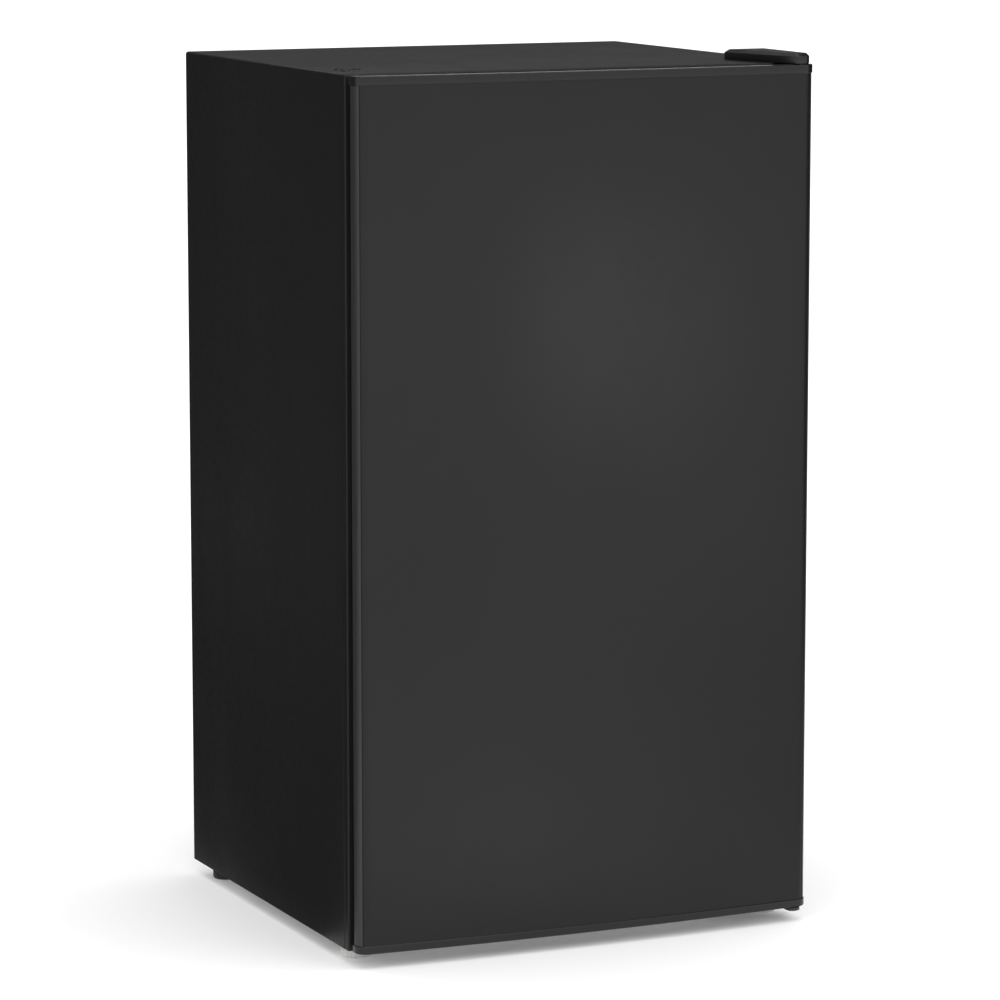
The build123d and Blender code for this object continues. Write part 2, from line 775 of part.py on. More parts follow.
def make_door_gasket():
    """Soft magnetic seal round the back of the door: a hollow bulb with a flat foot."""
    outer_half = half_width - gasket_inset
    low = z_bottom + gasket_inset + 2.0
    high = z_top - gasket_inset
    back = cabinet_depth + gasket_gap

    def loop(grow, s0, s1):
        """One rectangular loop of the seal, narrowed by grow on both of its sides."""
        a = outer_half - grow
        b = outer_half - gasket_width + grow
        outer = rounded_block(-a, a, s0, s1, low + grow, high - grow, 6.0, Axis.Y)
        inner = block(-b, b, s0 - 1, s1 + 1, low + gasket_width - grow, high - gasket_width + grow)
        return outer - inner

    seat = door_rear - gasket_foot
    foot = loop(0, seat, door_rear)
    bulb = loop(bulb_inset, back, seat)
    air = loop(bulb_inset + bulb_wall, back + bulb_wall, seat - 0.5)
    return foot + bulb - air


def make_bin(level, height, row):
    """Clear-fronted door bin: an open tray that hangs by its end lips on the liner's lugs."""
    low = cavity_floor + level
    high = low + height
    tray = rounded_block(-bin_half, bin_half, bin_back, bin_front, low, high, 8.0, Axis.Z)
    room = rounded_block(-bin_half + bin_wall, bin_half - bin_wall, bin_back + bin_wall,
                         bin_front - bin_wall, low + bin_wall, high + past, 6.0, Axis.Z)
    cut_half = bin_half - bin_rear_cut
    rear_cut = block(-cut_half, cut_half, bin_front - bin_wall - 1, bin_front + 1,
                     low + height * 0.5, high + past)
    body = tray - room - rear_cut
    for side in (-1, 1):
        root = side * (bin_half - bin_wall)
        tip = side * (dyke_inner - 0.8)
        lip = block(min(root, tip), max(root, tip), bin_back + 12.0, bin_front - 10.0,
                    row + 0.2, row + 2.6)
        body += lip
    return body


# ---- Shelves, drawer and freezer -----------------------------------------------------------------
def make_shelf_glass(level):
    """Toughened glass plate that lies on a pair of ribs."""
    low = cavity_floor + level + slide_gap
    return rounded_block(-shelf_half, shelf_half, shelf_back + 6.0, shelf_front - 4.0,
                         low, low + shelf_glass, 4.0, Axis.Z)


def make_shelf_trim(level):
    """Moulded edging along the front and back of the glass."""
    low = cavity_floor + level + slide_gap
    span = cavity_half - rib_reach - trim_inset
    high = low + shelf_glass + trim_rise
    nose = block(-span, span, shelf_front - trim_depth, shelf_front, low - trim_drop, high)
    nose = fillet(nose.edges().filter_by(Axis.X).group_by(Axis.Y)[0], 2.5)
    heel = block(-span, span, shelf_back, shelf_back + trim_depth, low - 2.0, high)
    return Compound(children=[nose - make_shelf_glass(level), heel - make_shelf_glass(level)])


def make_crisper_drawer():
    """Clear drawer for vegetables, standing on the cavity floor in front of the step."""
    half = cavity_half - drawer_side_gap
    low = cavity_floor + slide_gap
    high = drawer_top
    box = rounded_block(-half, half, drawer_back, drawer_front, low, high, 10.0, Axis.Z)
    room = rounded_block(-half + drawer_wall, half - drawer_wall, drawer_back + drawer_wall,
                         drawer_front - drawer_wall, low + drawer_wall, high + past, 8.0, Axis.Z)
    grip = block(-grip_half, grip_half, drawer_front - 1, drawer_front + grip_reach,
                 high - grip_height, high)
    grip = fillet(grip.edges().filter_by(Axis.Z).group_by(Axis.Y)[0], 4.0)
    hand_half = grip_half - grip_wall
    hand = block(-hand_half, hand_half, drawer_front, drawer_front + grip_reach - 2.5,
                 high - grip_height - grip_wall, high - 3.0)
    return box - room + (grip - hand)


def make_evaporator_box():
    """Bonded aluminium freezer box, open at the front, hung under the cavity roof."""
    w = freezer_wall
    outer = rounded_block(freezer_left, freezer_right, freezer_back, freezer_front,
                          freezer_bottom, freezer_top, 6.0, Axis.Y)
    inner = rounded_block(freezer_left + w, freezer_right - w, freezer_back + w, freezer_front + 1,
                          freezer_bottom + w, freezer_top - w, 6.0 - w, Axis.Y)
    body = outer - inner
    for index in range(6):
        s = freezer_back + 24.0 + index * 34.0
        rise = cross_bar(s, freezer_bottom, freezer_left + 16, freezer_right - 16, 2.6)
        body += rise & block(-half_width, half_width, 0, cabinet_depth, 0, freezer_bottom + w / 2)
    return body


def make_evaporator_hangers():
    """Four moulded hangers that hold the freezer box to the cavity roof."""
    hangers = []
    for x in (freezer_left + 30.0, freezer_right - 30.0):
        for s in (freezer_back + 30.0, freezer_front - 40.0):
            hangers.append(block(x - 8, x + 8, s - 6, s + 6, freezer_top, cavity_roof))
    return Compound(children=hangers)


def make_freezer_frame():
    """Moulded frame round the mouth of the freezer box, with an ear for each flap pin."""
    rim = frame_rim
    left = freezer_left - frame_overlap
    right = freezer_right + frame_overlap
    frame = rounded_block(left, right, freezer_front, freezer_front + frame_depth,
                          freezer_bottom - frame_overlap, freezer_top + frame_overlap,
                          6.0, Axis.Y)
    mouth = block(freezer_left + rim, freezer_right - rim, freezer_front - 1,
                  freezer_front + past, freezer_bottom + rim, freezer_top - rim)
    body = frame - mouth
    ear_front = flap_axis_s + flap_thickness / 2 + 1.2
    for x0, x1 in ((left, flap_left - slide_gap), (flap_right + slide_gap, right)):
        body += block(x0, x1, freezer_front + frame_depth, ear_front,
                      flap_axis_z - 6, flap_axis_z + 5)
    hole = cross_bar(flap_axis_s, flap_axis_z, left - past, right + past,
                     flap_pin_radius + pin_clearance)
    return body - hole


def make_freezer_flap():
    """Moulded flap that closes the freezer box, hung on two pins along its upper edge."""
    back = flap_axis_s - flap_thickness / 2
    nose = flap_axis_s + flap_thickness / 2
    panel = block(flap_left, flap_right, back, nose, flap_bottom, flap_top)
    panel = fillet(panel.edges().filter_by(Axis.X).group_by(Axis.Z)[-1], flap_thickness * 0.49)
    middle = (flap_left + flap_right) / 2
    grip = block(middle - flap_grip_half, middle + flap_grip_half, nose - 0.5, nose + 5.0,
                 flap_bottom + 4, flap_bottom + 10)
    grip = fillet(grip.edges().filter_by(Axis.Z).group_by(Axis.Y)[0], 2.5)
    pins = cross_bar(flap_axis_s, flap_axis_z, flap_left - 4.0, flap_left + 2.0, flap_pin_radius)
    pins += cross_bar(flap_axis_s, flap_axis_z, flap_right - 2.0, flap_right + 4.0,
                      flap_pin_radius)
    return panel + grip + pins


def tray_rails():
    """Heights of the top and the bottom of the drip tray's rails."""
    return freezer_bottom - 4.0, freezer_bottom - 4.0 - tray_depth_below


def make_tray_rails():
    """Two moulded rails under the freezer box that carry the drip tray."""
    low = tray_rails()[1]
    over = frame_overlap
    rails = []
    for x0, x1, shelf0, shelf1 in (
            (freezer_left - over, freezer_left, freezer_left - over, freezer_left + 6.0),
            (freezer_right, freezer_right + over, freezer_right - 6.0, freezer_right + over)):
        web = block(x0, x1, freezer_back + 10, freezer_front, low, freezer_top - 30)
        ledge = block(shelf0, shelf1, freezer_back + 10, freezer_front, low, low + rail_ledge)
        rails.append(web + ledge)
    return Compound(children=rails)


def make_drip_tray():
    """Shallow tray under the freezer box that catches the melt water."""
    high, low = tray_rails()
    floor = low + rail_ledge + slide_gap
    wall = freezer_wall
    left, right = freezer_left + 0.6, freezer_right - 0.6
    tray = rounded_block(left, right, freezer_back + 14, freezer_front + 6, floor,
                         high - 1.0, 5.0, Axis.Z)
    room = rounded_block(left + wall, right - wall, freezer_back + 14 + wall,
                         freezer_front + 6 - wall, floor + wall, high + past, 3.5, Axis.Z)
    return tray - room


def make_thermostat_housing():
    """Moulded box in the upper right corner that holds the thermostat."""
    x0, x1 = knob_x - thermostat_width / 2, knob_x + thermostat_width / 2
    z0, z1 = knob_z - thermostat_height / 2, knob_z + thermostat_height / 2
    box = rounded_block(x0, x1, back_wall, knob_s, z0, z1, 6.0, Axis.Y)
    rim = box.faces().sort_by(Axis.Y)[0].edges()
    box = fillet(rim, 3.0)
    seat = fore_bar(knob_x, knob_z, knob_s - 1.5, knob_s + 1, knob_radius + 1.5)
    bore = fore_bar(knob_x, knob_z, knob_s - 22, knob_s + 1, spindle_radius + 0.4)
    return box - seat - bore


def make_thermostat_knob():
    """Round knob with a pointer rib, on a spindle that turns in the housing."""
    base = knob_s - 1.2
    knob = fore_bar(knob_x, knob_z, base, base + 4.0, knob_radius)
    grip = fore_bar(knob_x, knob_z, base + 4.0, base + knob_length, knob_radius * 0.8)
    front_rim = grip.edges().filter_by(GeomType.CIRCLE).sort_by(Axis.Y)[0]
    grip = fillet(front_rim, 1.5)
    rib = block(knob_x - 1.6, knob_x + 1.6, base + 4.0, base + knob_length + 2.0,
                knob_z, knob_z + knob_radius - 1.0)
    return knob + grip + rib + fore_bar(knob_x, knob_z, base - 16.0, base, spindle_radius)


# ---- Refrigeration circuit -------------------------------------------------------------------
def compressor_base():
    """Height of the underside of the compressor's feet plate."""
    return z_bottom + tray_sheet + grommet_height


def compressor_form(inset):
    """The can's outer form drawn in by a wall, an upright drum with deeply rounded ends."""
    drum = Pos(0, 0, compressor_height / 2) * Cylinder(compressor_radius - inset,
                                                       compressor_height - 2 * inset)
    rims = drum.edges().filter_by(GeomType.CIRCLE)
    return fillet(rims, compressor_dome - inset)


def place_compressor(shape):
    """Stand a shape made about the origin where the compressor stands."""
    lift = compressor_base() + feet_plate_sheet
    return Pos(compressor_x, front(compressor_depth), lift) * shape


def make_compressor_can():
    """Welded steel can of the compressor, with the seam flange round its middle."""
    middle = compressor_height * 0.52
    seam = Pos(0, 0, middle) * Cylinder(compressor_radius + seam_reach, seam_height)
    can = compressor_form(0) + seam - compressor_form(compressor_wall)
    return place_compressor(can)


def make_compressor_motor():
    """Motor and pump block inside the can."""
    stator = Pos(0, 0, compressor_height * 0.42) * Cylinder(compressor_radius * 0.72, 52.0)
    pump = Pos(0, 0, compressor_height * 0.42 + 40.0) * Box(56.0, 40.0, 28.0)
    return place_compressor(stator + pump)


def compressor_foot_places():
    """Centres of the compressor's four rubber mounts."""
    return [(compressor_x + dx * feet_spread_x / 2, compressor_depth + ds * feet_spread_s / 2)
            for dx in (-1, 1) for ds in (-1, 1)]


def make_feet_plate():
    """Steel strap welded under the can, with a hole over each rubber mount."""
    low = compressor_base()
    reach_x = feet_spread_x / 2 + 12.0
    reach_s = feet_spread_s / 2 + 12.0
    plate = rounded_block(compressor_x - reach_x, compressor_x + reach_x,
                          compressor_depth - reach_s, compressor_depth + reach_s,
                          low, low + feet_plate_sheet, 10.0, Axis.Z)
    for x, s in compressor_foot_places():
        plate -= upright(x, s, low - 1, low + past, screw_radius)
    return plate


def make_grommets():
    """Four rubber mounts under the feet plate."""
    low = z_bottom + tray_sheet
    return Compound(children=[ring(x, s, low, low + grommet_height, grommet_radius, screw_radius)
                              for x, s in compressor_foot_places()])


def make_compressor_bolts():
    """Four bolts down through the feet plate and the mounts into the tray."""
    high = compressor_base() + feet_plate_sheet
    length = high - z_bottom
    return Compound(children=[screw_down(x, s, high, length) for x, s in compressor_foot_places()])


def make_terminal_cover():
    """Plastic cover over the compressor's electrical terminals, on its right side."""
    x0 = compressor_x + compressor_radius + 3.5
    z0 = compressor_base() + 34.0
    box = rounded_block(x0, x0 + terminal_width, compressor_depth - terminal_depth / 2,
                        compressor_depth + terminal_depth / 2, z0, z0 + terminal_height,
                        7.0, Axis.X)
    return fillet(box.faces().sort_by(Axis.X)[-1].edges(), 3.0)


def make_evaporating_pan():
    """Plastic pan over the compressor, where the melt water dries off."""
    low = compressor_base() + feet_plate_sheet + compressor_height + 1.0
    s0, s1 = pan_back, compartment_depth - 12.0
    x0, x1 = compressor_x - pan_width / 2, compressor_x + pan_width / 2
    pan = rounded_block(x0, x1, s0, s1, low, low + pan_height, 10.0, Axis.Z)
    room = rounded_block(x0 + pan_wall, x1 - pan_wall, s0 + pan_wall, s1 - pan_wall,
                         low + pan_wall, low + pan_height + past, 8.0, Axis.Z)
    return pan - room


def condenser_rows():
    """Heights of the condenser's straight runs, lowest first."""
    low = z_bottom + compartment_height + 26.0
    high = z_top - condenser_margin
    step = (high - low) / (condenser_runs - 1)
    return [low + step * index for index in range(condenser_runs)]


def condenser_plane():
    """Depth of the condenser tube's centre line, behind the rear panel."""
    return -(condenser_standoff - 2 * wire_radius - condenser_tube_radius)


def make_condenser_tube():
    """Steel tube in a row of level runs joined by half-circle bends."""
    rows = condenser_rows()
    s = condenser_plane()
    bend = (rows[1] - rows[0]) / 2 - 0.01
    reach = half_width - condenser_margin
    points = []
    for index, z in enumerate(rows):
        side = -1 if index % 2 == 0 else 1
        points += [(side * reach, s, z), (-side * reach, s, z)]
    return pipe(points, condenser_tube_radius, bend)


def make_condenser_wires():
    """Upright steel wires across the runs, on their outer side."""
    rows = condenser_rows()
    s = condenser_plane() - condenser_tube_radius - wire_radius - 0.05
    reach = half_width - condenser_margin - 24.0
    pitch = 2 * reach / (wire_count - 1)
    low, high = rows[0] - wire_overhang, rows[-1] + wire_overhang
    return Compound(children=[upright(-reach + pitch * index, s, low, high, wire_radius)
                              for index in range(wire_count)])


def condenser_bracket_places():
    """Centres of the four stand-off brackets, each in a gap whose bend is on the other side."""
    rows = condenser_rows()
    reach = half_width - condenser_margin - 12.0
    span = 2 * ((condenser_runs - 5) // 2)
    places = []
    for side, first in ((-1, 2), (1, 1)):
        for i in (first, first + span):
            places.append((side * reach, (rows[i] + rows[i + 1]) / 2))
    return places


def make_condenser_brackets():
    """Plastic stand-offs that hold the condenser clear of the rear panel."""
    tube = condenser_plane()
    pitch = condenser_rows()[1] - condenser_rows()[0]
    half = pitch / 2 - condenser_tube_radius - 0.05
    blocks = []
    for x, z in condenser_bracket_places():
        arm = block(x - 5, x + 5, tube - 2.0, 0, z - half, z + half)
        arm -= fore_bar(x, z, tube - past, past, screw_radius)
        blocks.append(arm)
    return Compound(children=blocks)


def make_condenser_screws():
    """Screws that hold the stand-offs to the rear panel."""
    tube = condenser_plane()
    return Compound(children=[
        fore_bar(x, z, tube - 2.0 - 1.5, tube - 2.0, screw_head_radius * 0.9)
        + fore_bar(x, z, tube - 2.0, 0, screw_radius)
        for x, z in condenser_bracket_places()])


def make_filter_drier():
    """Copper filter drier standing beside the compressor."""
    x = compressor_x - compressor_radius - drier_clearance
    low = z_bottom + 52.0
    high = low + drier_height
    body = upright(x, drier_s, low + 10, high - 10, 8.0)
    ends = body.edges().filter_by(GeomType.CIRCLE)
    body = fillet(ends, 3.5)
    stubs = upright(x, drier_s, low, low + 12, tube_radius)
    return body + stubs + upright(x, drier_s, high - 12, high, tube_radius)


def can_side(offset, radius):
    """X of the can's left side where a tube of this radius meets it, at a depth offset."""
    nearest = max(abs(offset) - radius, 0)
    return compressor_x - math.sqrt(compressor_radius ** 2 - nearest ** 2) - 0.05


def make_discharge_tube():
    """Copper tube from the compressor up to the condenser's lowest run."""
    radius = tube_radius * 0.8
    offset = 22.0
    x0 = can_side(offset, radius)
    s0 = compressor_depth + offset
    reach = -(half_width - condenser_margin) - 8.0
    z0 = compressor_base() + 60.0
    s1 = condenser_plane()
    points = [(x0, s0, z0), (x0 - 26.0, s0, z0), (x0 - 26.0, 26.0, z0), (reach, 26.0, z0),
              (reach, s1, z0), (reach, s1, condenser_rows()[0])]
    return pipe(points, radius, 8.0)


def make_suction_tube():
    """Copper tube from the compressor up through the compartment's roof."""
    x0 = can_side(0, tube_radius)
    z0 = compressor_base() + 50.0
    roof = z_bottom + compartment_height
    points = [(x0, compressor_depth, z0), (x0 - 34.0, compressor_depth, z0),
              (x0 - 34.0, compressor_depth, roof)]
    return pipe(points, tube_radius, 9.0)


def make_panel_screws():
    """Screws round the edge of the rear panel."""
    screws = []
    for z in (z_bottom + compartment_height + 14.0, (z_bottom + z_top) / 2 + 60.0, z_top - 14.0):
        for side in (-1, 1):
            x = side * (half_width - 7.0)
            screws.append(fore_bar(x, z, -1.6, 0, 3.4))
    return Compound(children=screws)


# ---- Write every node ------------------------------------------------------------------------
os.makedirs("parts", exist_ok=True)
write(make_outer_shell(), "outer_shell")
write(make_rear_panel(), "rear_panel")
write(make_base_pan(), "base_pan")
write(make_inner_liner(), "inner_liner")
write(make_cabinet_foam(), "cabinet_foam")
write(make_crossmember(), "front_crossmember")
write(make_compressor_tray(), "compressor_tray")
write(make_cord_gland(), "cord_gland")
write(make_rear_feet(), "rear_feet")
write(make_front_foot(-1), "front_foot_left")
write(make_front_foot(1), "front_foot_right")
write(make_hole_plugs(), "spare_hole_plugs")
write(make_top_hinge_plate(), "top_hinge_plate")
write(make_top_hinge_pin(), "top_hinge_pin")
write(make_top_hinge_screws(), "top_hinge_screws")
write(make_hinge_cover(), "hinge_cover")
write(make_bottom_bracket(), "bottom_hinge_bracket")
write(make_bottom_hinge_pin(), "bottom_hinge_pin")
write(make_bottom_hinge_screws(), "bottom_hinge_screws")
write(make_door_skin(), "door_skin")
write(make_door_cap(skin_top, door_top, True), "door_top_cap")
write(make_door_cap(door_bottom, skin_bottom, False), "door_bottom_cap")
write(make_door_bushes(), "door_bushes")
write(make_door_liner(), "door_liner")
write(make_door_foam(), "door_foam")
write(make_door_gasket(), "door_gasket")
for name, level, height, row in zip(("lower", "middle", "upper"), bin_levels, bin_heights,
                                    lug_rows()):
    write(make_bin(level, height, row), f"door_bin_{name}")
for name, level in zip(("crisper_cover", "lower_shelf", "upper_shelf"),
                       (crisper_level, *shelf_levels)):
    write(make_shelf_glass(level), f"{name}_glass")
    write(make_shelf_trim(level), f"{name}_trim")
write(make_crisper_drawer(), "crisper_drawer")
write(make_evaporator_box(), "evaporator_box")
write(make_evaporator_hangers(), "evaporator_hangers")
write(make_freezer_frame(), "freezer_frame")
write(make_freezer_flap(), "freezer_flap")
write(make_tray_rails(), "drip_tray_rails")
write(make_drip_tray(), "drip_tray")
write(make_thermostat_housing(), "thermostat_housing")
write(make_thermostat_knob(), "thermostat_knob")
write(make_compressor_can(), "compressor_can")
write(make_compressor_motor(), "compressor_motor")
write(make_feet_plate(), "compressor_feet_plate")
write(make_grommets(), "compressor_grommets")
write(make_compressor_bolts(), "compressor_bolts")
write(make_terminal_cover(), "terminal_cover")
write(make_evaporating_pan(), "evaporating_pan")
write(make_condenser_tube(), "condenser_tube")
write(make_condenser_wires(), "condenser_wires")
write(make_condenser_brackets(), "condenser_brackets")
write(make_condenser_screws(), "condenser_screws")
write(make_filter_drier(), "filter_drier")
write(make_discharge_tube(), "discharge_tube")
write(make_suction_tube(), "suction_tube")
write(make_panel_screws(), "panel_screws")
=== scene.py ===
"""A compact single-door refrigerator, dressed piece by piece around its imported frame."""

import json
import logging
import math
from dataclasses import dataclass, field
from enum import Enum
from typing import Iterable, Sequence

import bmesh
import bpy
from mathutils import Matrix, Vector


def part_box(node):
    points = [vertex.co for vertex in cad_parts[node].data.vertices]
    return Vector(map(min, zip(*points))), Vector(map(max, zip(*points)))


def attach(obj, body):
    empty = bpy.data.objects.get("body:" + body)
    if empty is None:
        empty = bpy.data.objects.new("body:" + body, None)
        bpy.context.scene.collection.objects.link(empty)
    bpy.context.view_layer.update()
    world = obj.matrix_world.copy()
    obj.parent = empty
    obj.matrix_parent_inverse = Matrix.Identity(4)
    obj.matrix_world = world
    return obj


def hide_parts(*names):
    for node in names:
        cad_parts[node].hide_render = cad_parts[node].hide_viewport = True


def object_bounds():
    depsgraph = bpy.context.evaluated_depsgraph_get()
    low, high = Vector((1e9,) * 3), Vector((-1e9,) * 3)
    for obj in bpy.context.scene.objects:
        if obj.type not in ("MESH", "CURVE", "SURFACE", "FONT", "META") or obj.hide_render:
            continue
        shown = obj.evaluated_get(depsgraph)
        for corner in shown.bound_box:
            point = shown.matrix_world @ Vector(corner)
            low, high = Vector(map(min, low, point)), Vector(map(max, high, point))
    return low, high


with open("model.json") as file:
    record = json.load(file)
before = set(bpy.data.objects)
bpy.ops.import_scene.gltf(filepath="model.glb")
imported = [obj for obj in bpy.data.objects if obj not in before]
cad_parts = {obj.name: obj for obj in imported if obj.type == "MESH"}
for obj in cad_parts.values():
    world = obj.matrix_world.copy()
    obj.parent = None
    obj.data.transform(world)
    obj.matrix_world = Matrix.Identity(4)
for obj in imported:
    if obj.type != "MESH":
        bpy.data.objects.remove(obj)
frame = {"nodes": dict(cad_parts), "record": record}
CAD_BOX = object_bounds()

logging.basicConfig(level=logging.INFO, format="%(name)s: %(message)s")
LOG = logging.getLogger("mini_fridge")

MM = 0.001
WELD_DISTANCE = 2e-6
Point2 = tuple[float, float]
Colour = tuple[float, float, float]


# ---- Shader graphs ----
class Graph:
    """A material's node tree with short names for the nodes that the finishes use."""

    def __init__(self, name: str) -> None:
        """Start an empty material with one Principled shader.

        Args:
            name: the material's name.
        """
        self.material = bpy.data.materials.new(name)
        self.material.use_nodes = True
        self.tree = self.material.node_tree
        self.tree.nodes.clear()
        self.shader = self.tree.nodes.new("ShaderNodeBsdfPrincipled")
        output = self.tree.nodes.new("ShaderNodeOutputMaterial")
        self.tree.links.new(self.shader.outputs["BSDF"], output.inputs["Surface"])
        self.place = self.tree.nodes.new("ShaderNodeTexCoord").outputs["Object"]

    def set(self, **values: float | Colour) -> None:
        """Set constant values on the shader's own sockets.

        Args:
            **values: socket names in lower case with underscores, and their values.
        """
        for name, value in values.items():
            socket = next(s for s in self.shader.inputs
                          if s.name.lower().replace(" ", "_") == name)
            socket.default_value = (*value, 1.0) if isinstance(value, tuple) else value

    def link(self, source: bpy.types.NodeSocket, socket: str) -> None:
        """Drive one of the shader's sockets by another node's output."""
        self.tree.links.new(source, self.shader.inputs[socket])

    def stretch(self, scale: tuple[float, float, float]) -> bpy.types.NodeSocket:
        """Stretch the object's coordinates.

        Args:
            scale: the stretch on each axis.

        Returns:
            The stretched coordinates.
        """
        node = self.tree.nodes.new("ShaderNodeMapping")
        node.inputs["Scale"].default_value = scale
        self.tree.links.new(self.place, node.inputs["Vector"])
        return node.outputs["Vector"]

    def noise(self, scale: float, detail: float = 2.0, roughness: float = 0.5,
              vector: bpy.types.NodeSocket | None = None) -> bpy.types.NodeSocket:
        """Value of a noise texture.

        Args:
            scale: how many features there are to a metre.
            detail: number of finer layers.
            roughness: how strong the finer layers are.
            vector: coordinates, or None for the object's own.

        Returns:
            The texture's value socket.
        """
        node = self.tree.nodes.new("ShaderNodeTexNoise")
        node.inputs["Scale"].default_value = scale
        node.inputs["Detail"].default_value = detail
        node.inputs["Roughness"].default_value = roughness
        self.tree.links.new(vector or self.place, node.inputs["Vector"])
        return node.outputs["Fac"]

    def cells(self, scale: float, output: str = "Color") -> bpy.types.NodeSocket:
        """Value or colour of a cell texture.

        Args:
            scale: how many cells there are to a metre.
            output: name of the texture's output.

        Returns:
            That output.
        """
        node = self.tree.nodes.new("ShaderNodeTexVoronoi")
        node.inputs["Scale"].default_value = scale
        self.tree.links.new(self.place, node.inputs["Vector"])
        return node.outputs[output]

    def spread(self, value: bpy.types.NodeSocket, low: float, high: float,
               start: float = 0.3, end: float = 0.7) -> bpy.types.NodeSocket:
        """Map a value from start..end onto low..high.

        Args:
            value: the value to map.
            low: result at start.
            high: result at end.
            start: input that gives low.
            end: input that gives high.

        Returns:
            The mapped value.
        """
        node = self.tree.nodes.new("ShaderNodeMapRange")
        node.inputs["From Min"].default_value = start
        node.inputs["From Max"].default_value = end
        node.inputs["To Min"].default_value = low
        node.inputs["To Max"].default_value = high
        self.tree.links.new(value, node.inputs["Value"])
        return node.outputs["Result"]

    def blend(self, factor: bpy.types.NodeSocket, first: Colour, second: Colour
              ) -> bpy.types.NodeSocket:
        """Mix two colours.

        Args:
            factor: 0 for the first colour, 1 for the second.
            first: the first colour.
            second: the second colour.

        Returns:
            The mixed colour.
        """
        node = self.tree.nodes.new("ShaderNodeMix")
        node.data_type = "RGBA"
        node.inputs["A"].default_value = (*first, 1.0)
        node.inputs["B"].default_value = (*second, 1.0)
        self.tree.links.new(factor, node.inputs["Factor"])
        return node.outputs["Result"]

    def add(self, first: bpy.types.NodeSocket, second: bpy.types.NodeSocket,
            operation: str = "ADD") -> bpy.types.NodeSocket:
        """Join two values.

        Args:
            first: the first value.
            second: the second value.
            operation: how they are joined.

        Returns:
            The joined value.
        """
        node = self.tree.nodes.new("ShaderNodeMath")
        node.operation = operation
        self.tree.links.new(first, node.inputs[0])
        self.tree.links.new(second, node.inputs[1])
        return node.outputs["Value"]

    def bump(self, height: bpy.types.NodeSocket, strength: float, distance: float) -> None:
        """Bump the surface, on top of any bump given before.

        Args:
            height: the height value.
            strength: how much of it shows.
            distance: its depth in metres.
        """
        node = self.tree.nodes.new("ShaderNodeBump")
        node.inputs["Strength"].default_value = strength
        node.inputs["Distance"].default_value = distance
        self.tree.links.new(height, node.inputs["Height"])
        normal = self.shader.inputs["Normal"]
        if normal.is_linked:
            self.tree.links.new(normal.links[0].from_socket, node.inputs["Normal"])
        self.tree.links.new(node.outputs["Normal"], normal)


def shade(colour: Colour, factor: float) -> Colour:
    """A colour made lighter or darker by a factor."""
    return tuple(min(1.0, c * factor) for c in colour)


# ---- Finishes ----
@dataclass(frozen=True)
class Enamel:
    """Baked black enamel on sheet steel, with a fine orange peel and faint wiping marks."""

    name: str
    colour: Colour
    gloss: float
    specular: float = 0.5
    peel: float = 0.08
    peel_scale: float = 520.0
    pebble: float = 0.0

    def build(self) -> bpy.types.Material:
        """Make the material.

        Returns:
            The new material.
        """
        g = Graph(self.name)
        tone = g.noise(3.0, 4.0, 0.6)
        g.link(g.blend(g.spread(tone, 0.0, 1.0), shade(self.colour, 0.86),
                       shade(self.colour, 1.16)), "Base Color")
        wipe = g.noise(5.0, 5.0, 0.65, g.stretch((1.0, 1.0, 0.35)))
        fine = g.noise(160.0, 3.0)
        worn = g.add(g.spread(wipe, -0.035, 0.045), g.spread(fine, -0.02, 0.02))
        base = g.tree.nodes.new("ShaderNodeMath")
        base.operation = "ADD"
        base.inputs[1].default_value = self.gloss
        g.tree.links.new(worn, base.inputs[0])
        g.link(base.outputs["Value"], "Roughness")
        g.bump(g.noise(self.peel_scale, 2.0), self.peel, 0.0003)
        if self.pebble:
            g.bump(g.noise(950.0, 1.0, 0.4), self.pebble, 0.0004)
        g.set(specular_ior_level=self.specular)
        return g.material


@dataclass(frozen=True)
class Moulding:
    """Injection-moulded plastic with a fine eroded grain and slight flow marks."""

    name: str
    colour: Colour
    gloss: float
    grain: float = 0.12
    grain_scale: float = 2200.0
    specular: float = 0.5
    subsurface: float = 0.0
    flow: float = 0.06

    def build(self) -> bpy.types.Material:
        """Make the material.

        Returns:
            The new material.
        """
        g = Graph(self.name)
        marks = g.noise(9.0, 3.0, 0.55)
        g.link(g.blend(g.spread(marks, 0.0, 1.0), shade(self.colour, 1.0 - self.flow),
                       shade(self.colour, 1.0 + self.flow)), "Base Color")
        g.link(g.spread(g.noise(35.0, 4.0), self.gloss - self.flow, self.gloss + self.flow),
               "Roughness")
        g.bump(g.noise(self.grain_scale, 2.0), self.grain, 0.00015)
        g.set(specular_ior_level=self.specular, subsurface_weight=self.subsurface,
              subsurface_scale=0.004)
        return g.material


@dataclass(frozen=True)
class ClearWall:
    """Clear moulded plastic or toughened glass, with faint haze and scuffs."""

    name: str
    colour: Colour
    ior: float
    haze: float

    def build(self) -> bpy.types.Material:
        """Make the material.

        Returns:
            The new material.
        """
        g = Graph(self.name)
        tint = g.noise(14.0, 3.0)
        g.link(g.blend(g.spread(tint, 0.0, 1.0), shade(self.colour, 0.97), self.colour),
               "Base Color")
        g.link(g.spread(g.noise(60.0, 5.0, 0.7), self.haze, self.haze + 0.07), "Roughness")
        g.bump(g.noise(40.0, 2.0), 0.05, 0.0004)
        g.set(ior=self.ior, transmission_weight=0.94)
        return g.material


